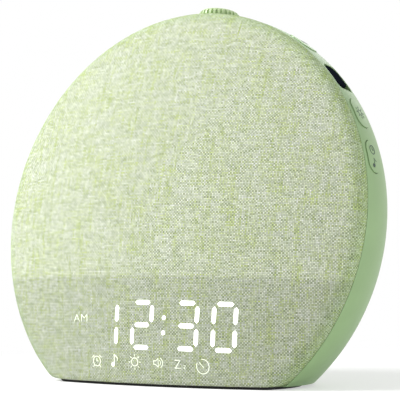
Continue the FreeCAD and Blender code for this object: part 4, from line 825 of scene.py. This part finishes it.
def key_marks():
    """Signs printed on the three keys: play and pause, a sun, and a clock over a note."""
    wedge = disc(0, 0, 1.3, 3)
    wedge.rotation_euler = (0, 0, -math.pi / 2)
    wedge.location = (-1.0, 0, 0)
    play = [wedge, *bars(0, 0, KEY_LINE, (0.7, -1.1, 0.7, 1.1), (1.6, -1.1, 1.6, 1.1))]
    sun = sun_sign(0, 0, 1.3, KEY_LINE)
    clock = [ring(0, 2.7, 1.75, KEY_LINE), *bars(0, 2.7, KEY_LINE, (0, 0, 0, 1.0), (0, 0, 0.9, 0))]
    note = [disc(-0.8, -4.0, 0.85, 14),
            *bars(0, 0, KEY_LINE, (0, -4.0, 0, -0.8), (0, -0.8, 1.5, -1.9))]
    for name, strokes, angle, body in (
        ("upper_marks", play, UPPER_KEY, "button_upper"),
        ("middle_marks", sun, MIDDLE_KEY, "button_middle"),
        ("lower_marks", clock + note, LOWER_KEY, "button_lower"),
    ):
        piece = on_rim(joined(name, strokes, KEY_PRINT), angle, KEY_LIFT)
        finished(piece, body, ink)


finished(time_marks(), "housing", display_light)
finished(symbol_marks(), "housing", faint_light)
key_marks()


# Floor, light and camera, in metres and watts

WHITE = (1, 1, 1)
FLOOR_SIZE = 12
FLOOR_GREY = (0.8, 0.8, 0.8)
SHADOW_GREY = (0.6, 0.6, 0.6)
SHADOW_LIFT = 0.5
SHADOW_REACH = (0.08, 0.21)
SURROUND = 0.485
LAMP_TARGET = Vector((0, 0, 0.07))
SIGHT = Vector((0.43625, -0.62294, 0.06433))
TARGET = Vector((0.00954, -0.00314, 0.07489))
AZIMUTH = math.radians(34.5)
ROLL = -0.017
LENS = 165.5


def floor_finish():
    """A white floor that shows the clock's shadow close by, and is plain grey to other light."""
    finish = Finish("pale_floor")
    seen = finish.rays("Camera", "Glossy", "Transmission")
    plain = finish.node("BsdfDiffuse", {}, {"Color": FLOOR_GREY})
    shadowed = finish.node("BsdfDiffuse", {}, {"Color": SHADOW_GREY})
    pale = finish.node("Emission", {}, {"Color": WHITE, "Strength": SHADOW_LIFT})
    near = finish.node("AddShader", {}, {0: pale, 1: shadowed})
    white = finish.node("Emission", {}, {"Color": WHITE, "Strength": 1.0})
    away = finish.length(finish.place()).ramp(*SHADOW_REACH)
    shown = finish.node("MixShader", {}, {0: away, 1: near, 2: white})
    surface = finish.node("MixShader", {}, {0: seen, 1: plain, 2: shown})
    finish.node("OutputMaterial", {}, {"Surface": surface})
    return finish.material


alone()
bpy.ops.mesh.primitive_plane_add(size=FLOOR_SIZE, location=(0, 0, 0))
floor = bpy.context.object
floor.name = "floor"
coat(floor, floor_finish())

world = bpy.data.worlds.new("studio")
bpy.context.scene.world = world
world.use_nodes = True
studio = Graph(world.node_tree)
around = studio.node("Background", {}, {"Color": WHITE, "Strength": SURROUND})
backdrop = studio.node("Background", {}, {"Color": WHITE, "Strength": 1.0})
seen = studio.rays("Camera", "Glossy", "Transmission")
shown = studio.node("MixShader", {}, {0: seen, 1: around, 2: backdrop})
studio.node("OutputWorld", {}, {"Surface": shown})


def lamp(name, place, size, power):
    """A soft square lamp that faces the clock."""
    alone()
    bpy.ops.object.light_add(type="AREA", location=place)
    item = bpy.context.object
    item.name = name
    item.data.size = size
    item.data.energy = power
    aim = LAMP_TARGET - item.location
    item.rotation_euler = aim.to_track_quat("-Z", "Y").to_euler()


lamp("key_lamp", (-1.2, -0.75, 1.3), 0.9, 45.5)
lamp("rim_lamp", (1.3, 0.3, 0.03), 0.6, 8)
lamp("back_lamp", (-0.2, 1.2, 0.8), 0.7, 2.2)

ahead = (TARGET - SIGHT).normalized()
level = Vector((math.cos(AZIMUTH), math.sin(AZIMUTH), 0))
upright = level.cross(ahead)
right = level * math.cos(ROLL) + upright * math.sin(ROLL)
up = upright * math.cos(ROLL) - level * math.sin(ROLL)
camera = bpy.data.objects.new("camera", bpy.data.cameras.new("camera"))
bpy.context.scene.collection.objects.link(camera)
camera.matrix_world = Matrix.Translation(SIGHT) @ Matrix((right, up, -ahead)).transposed().to_4x4()
camera.data.sensor_width = 36
camera.data.lens = LENS
camera.data.clip_start = 0.01
camera.data.clip_end = 30
bpy.context.scene.camera = camera
bpy.context.scene.view_settings.view_transform = "Standard"
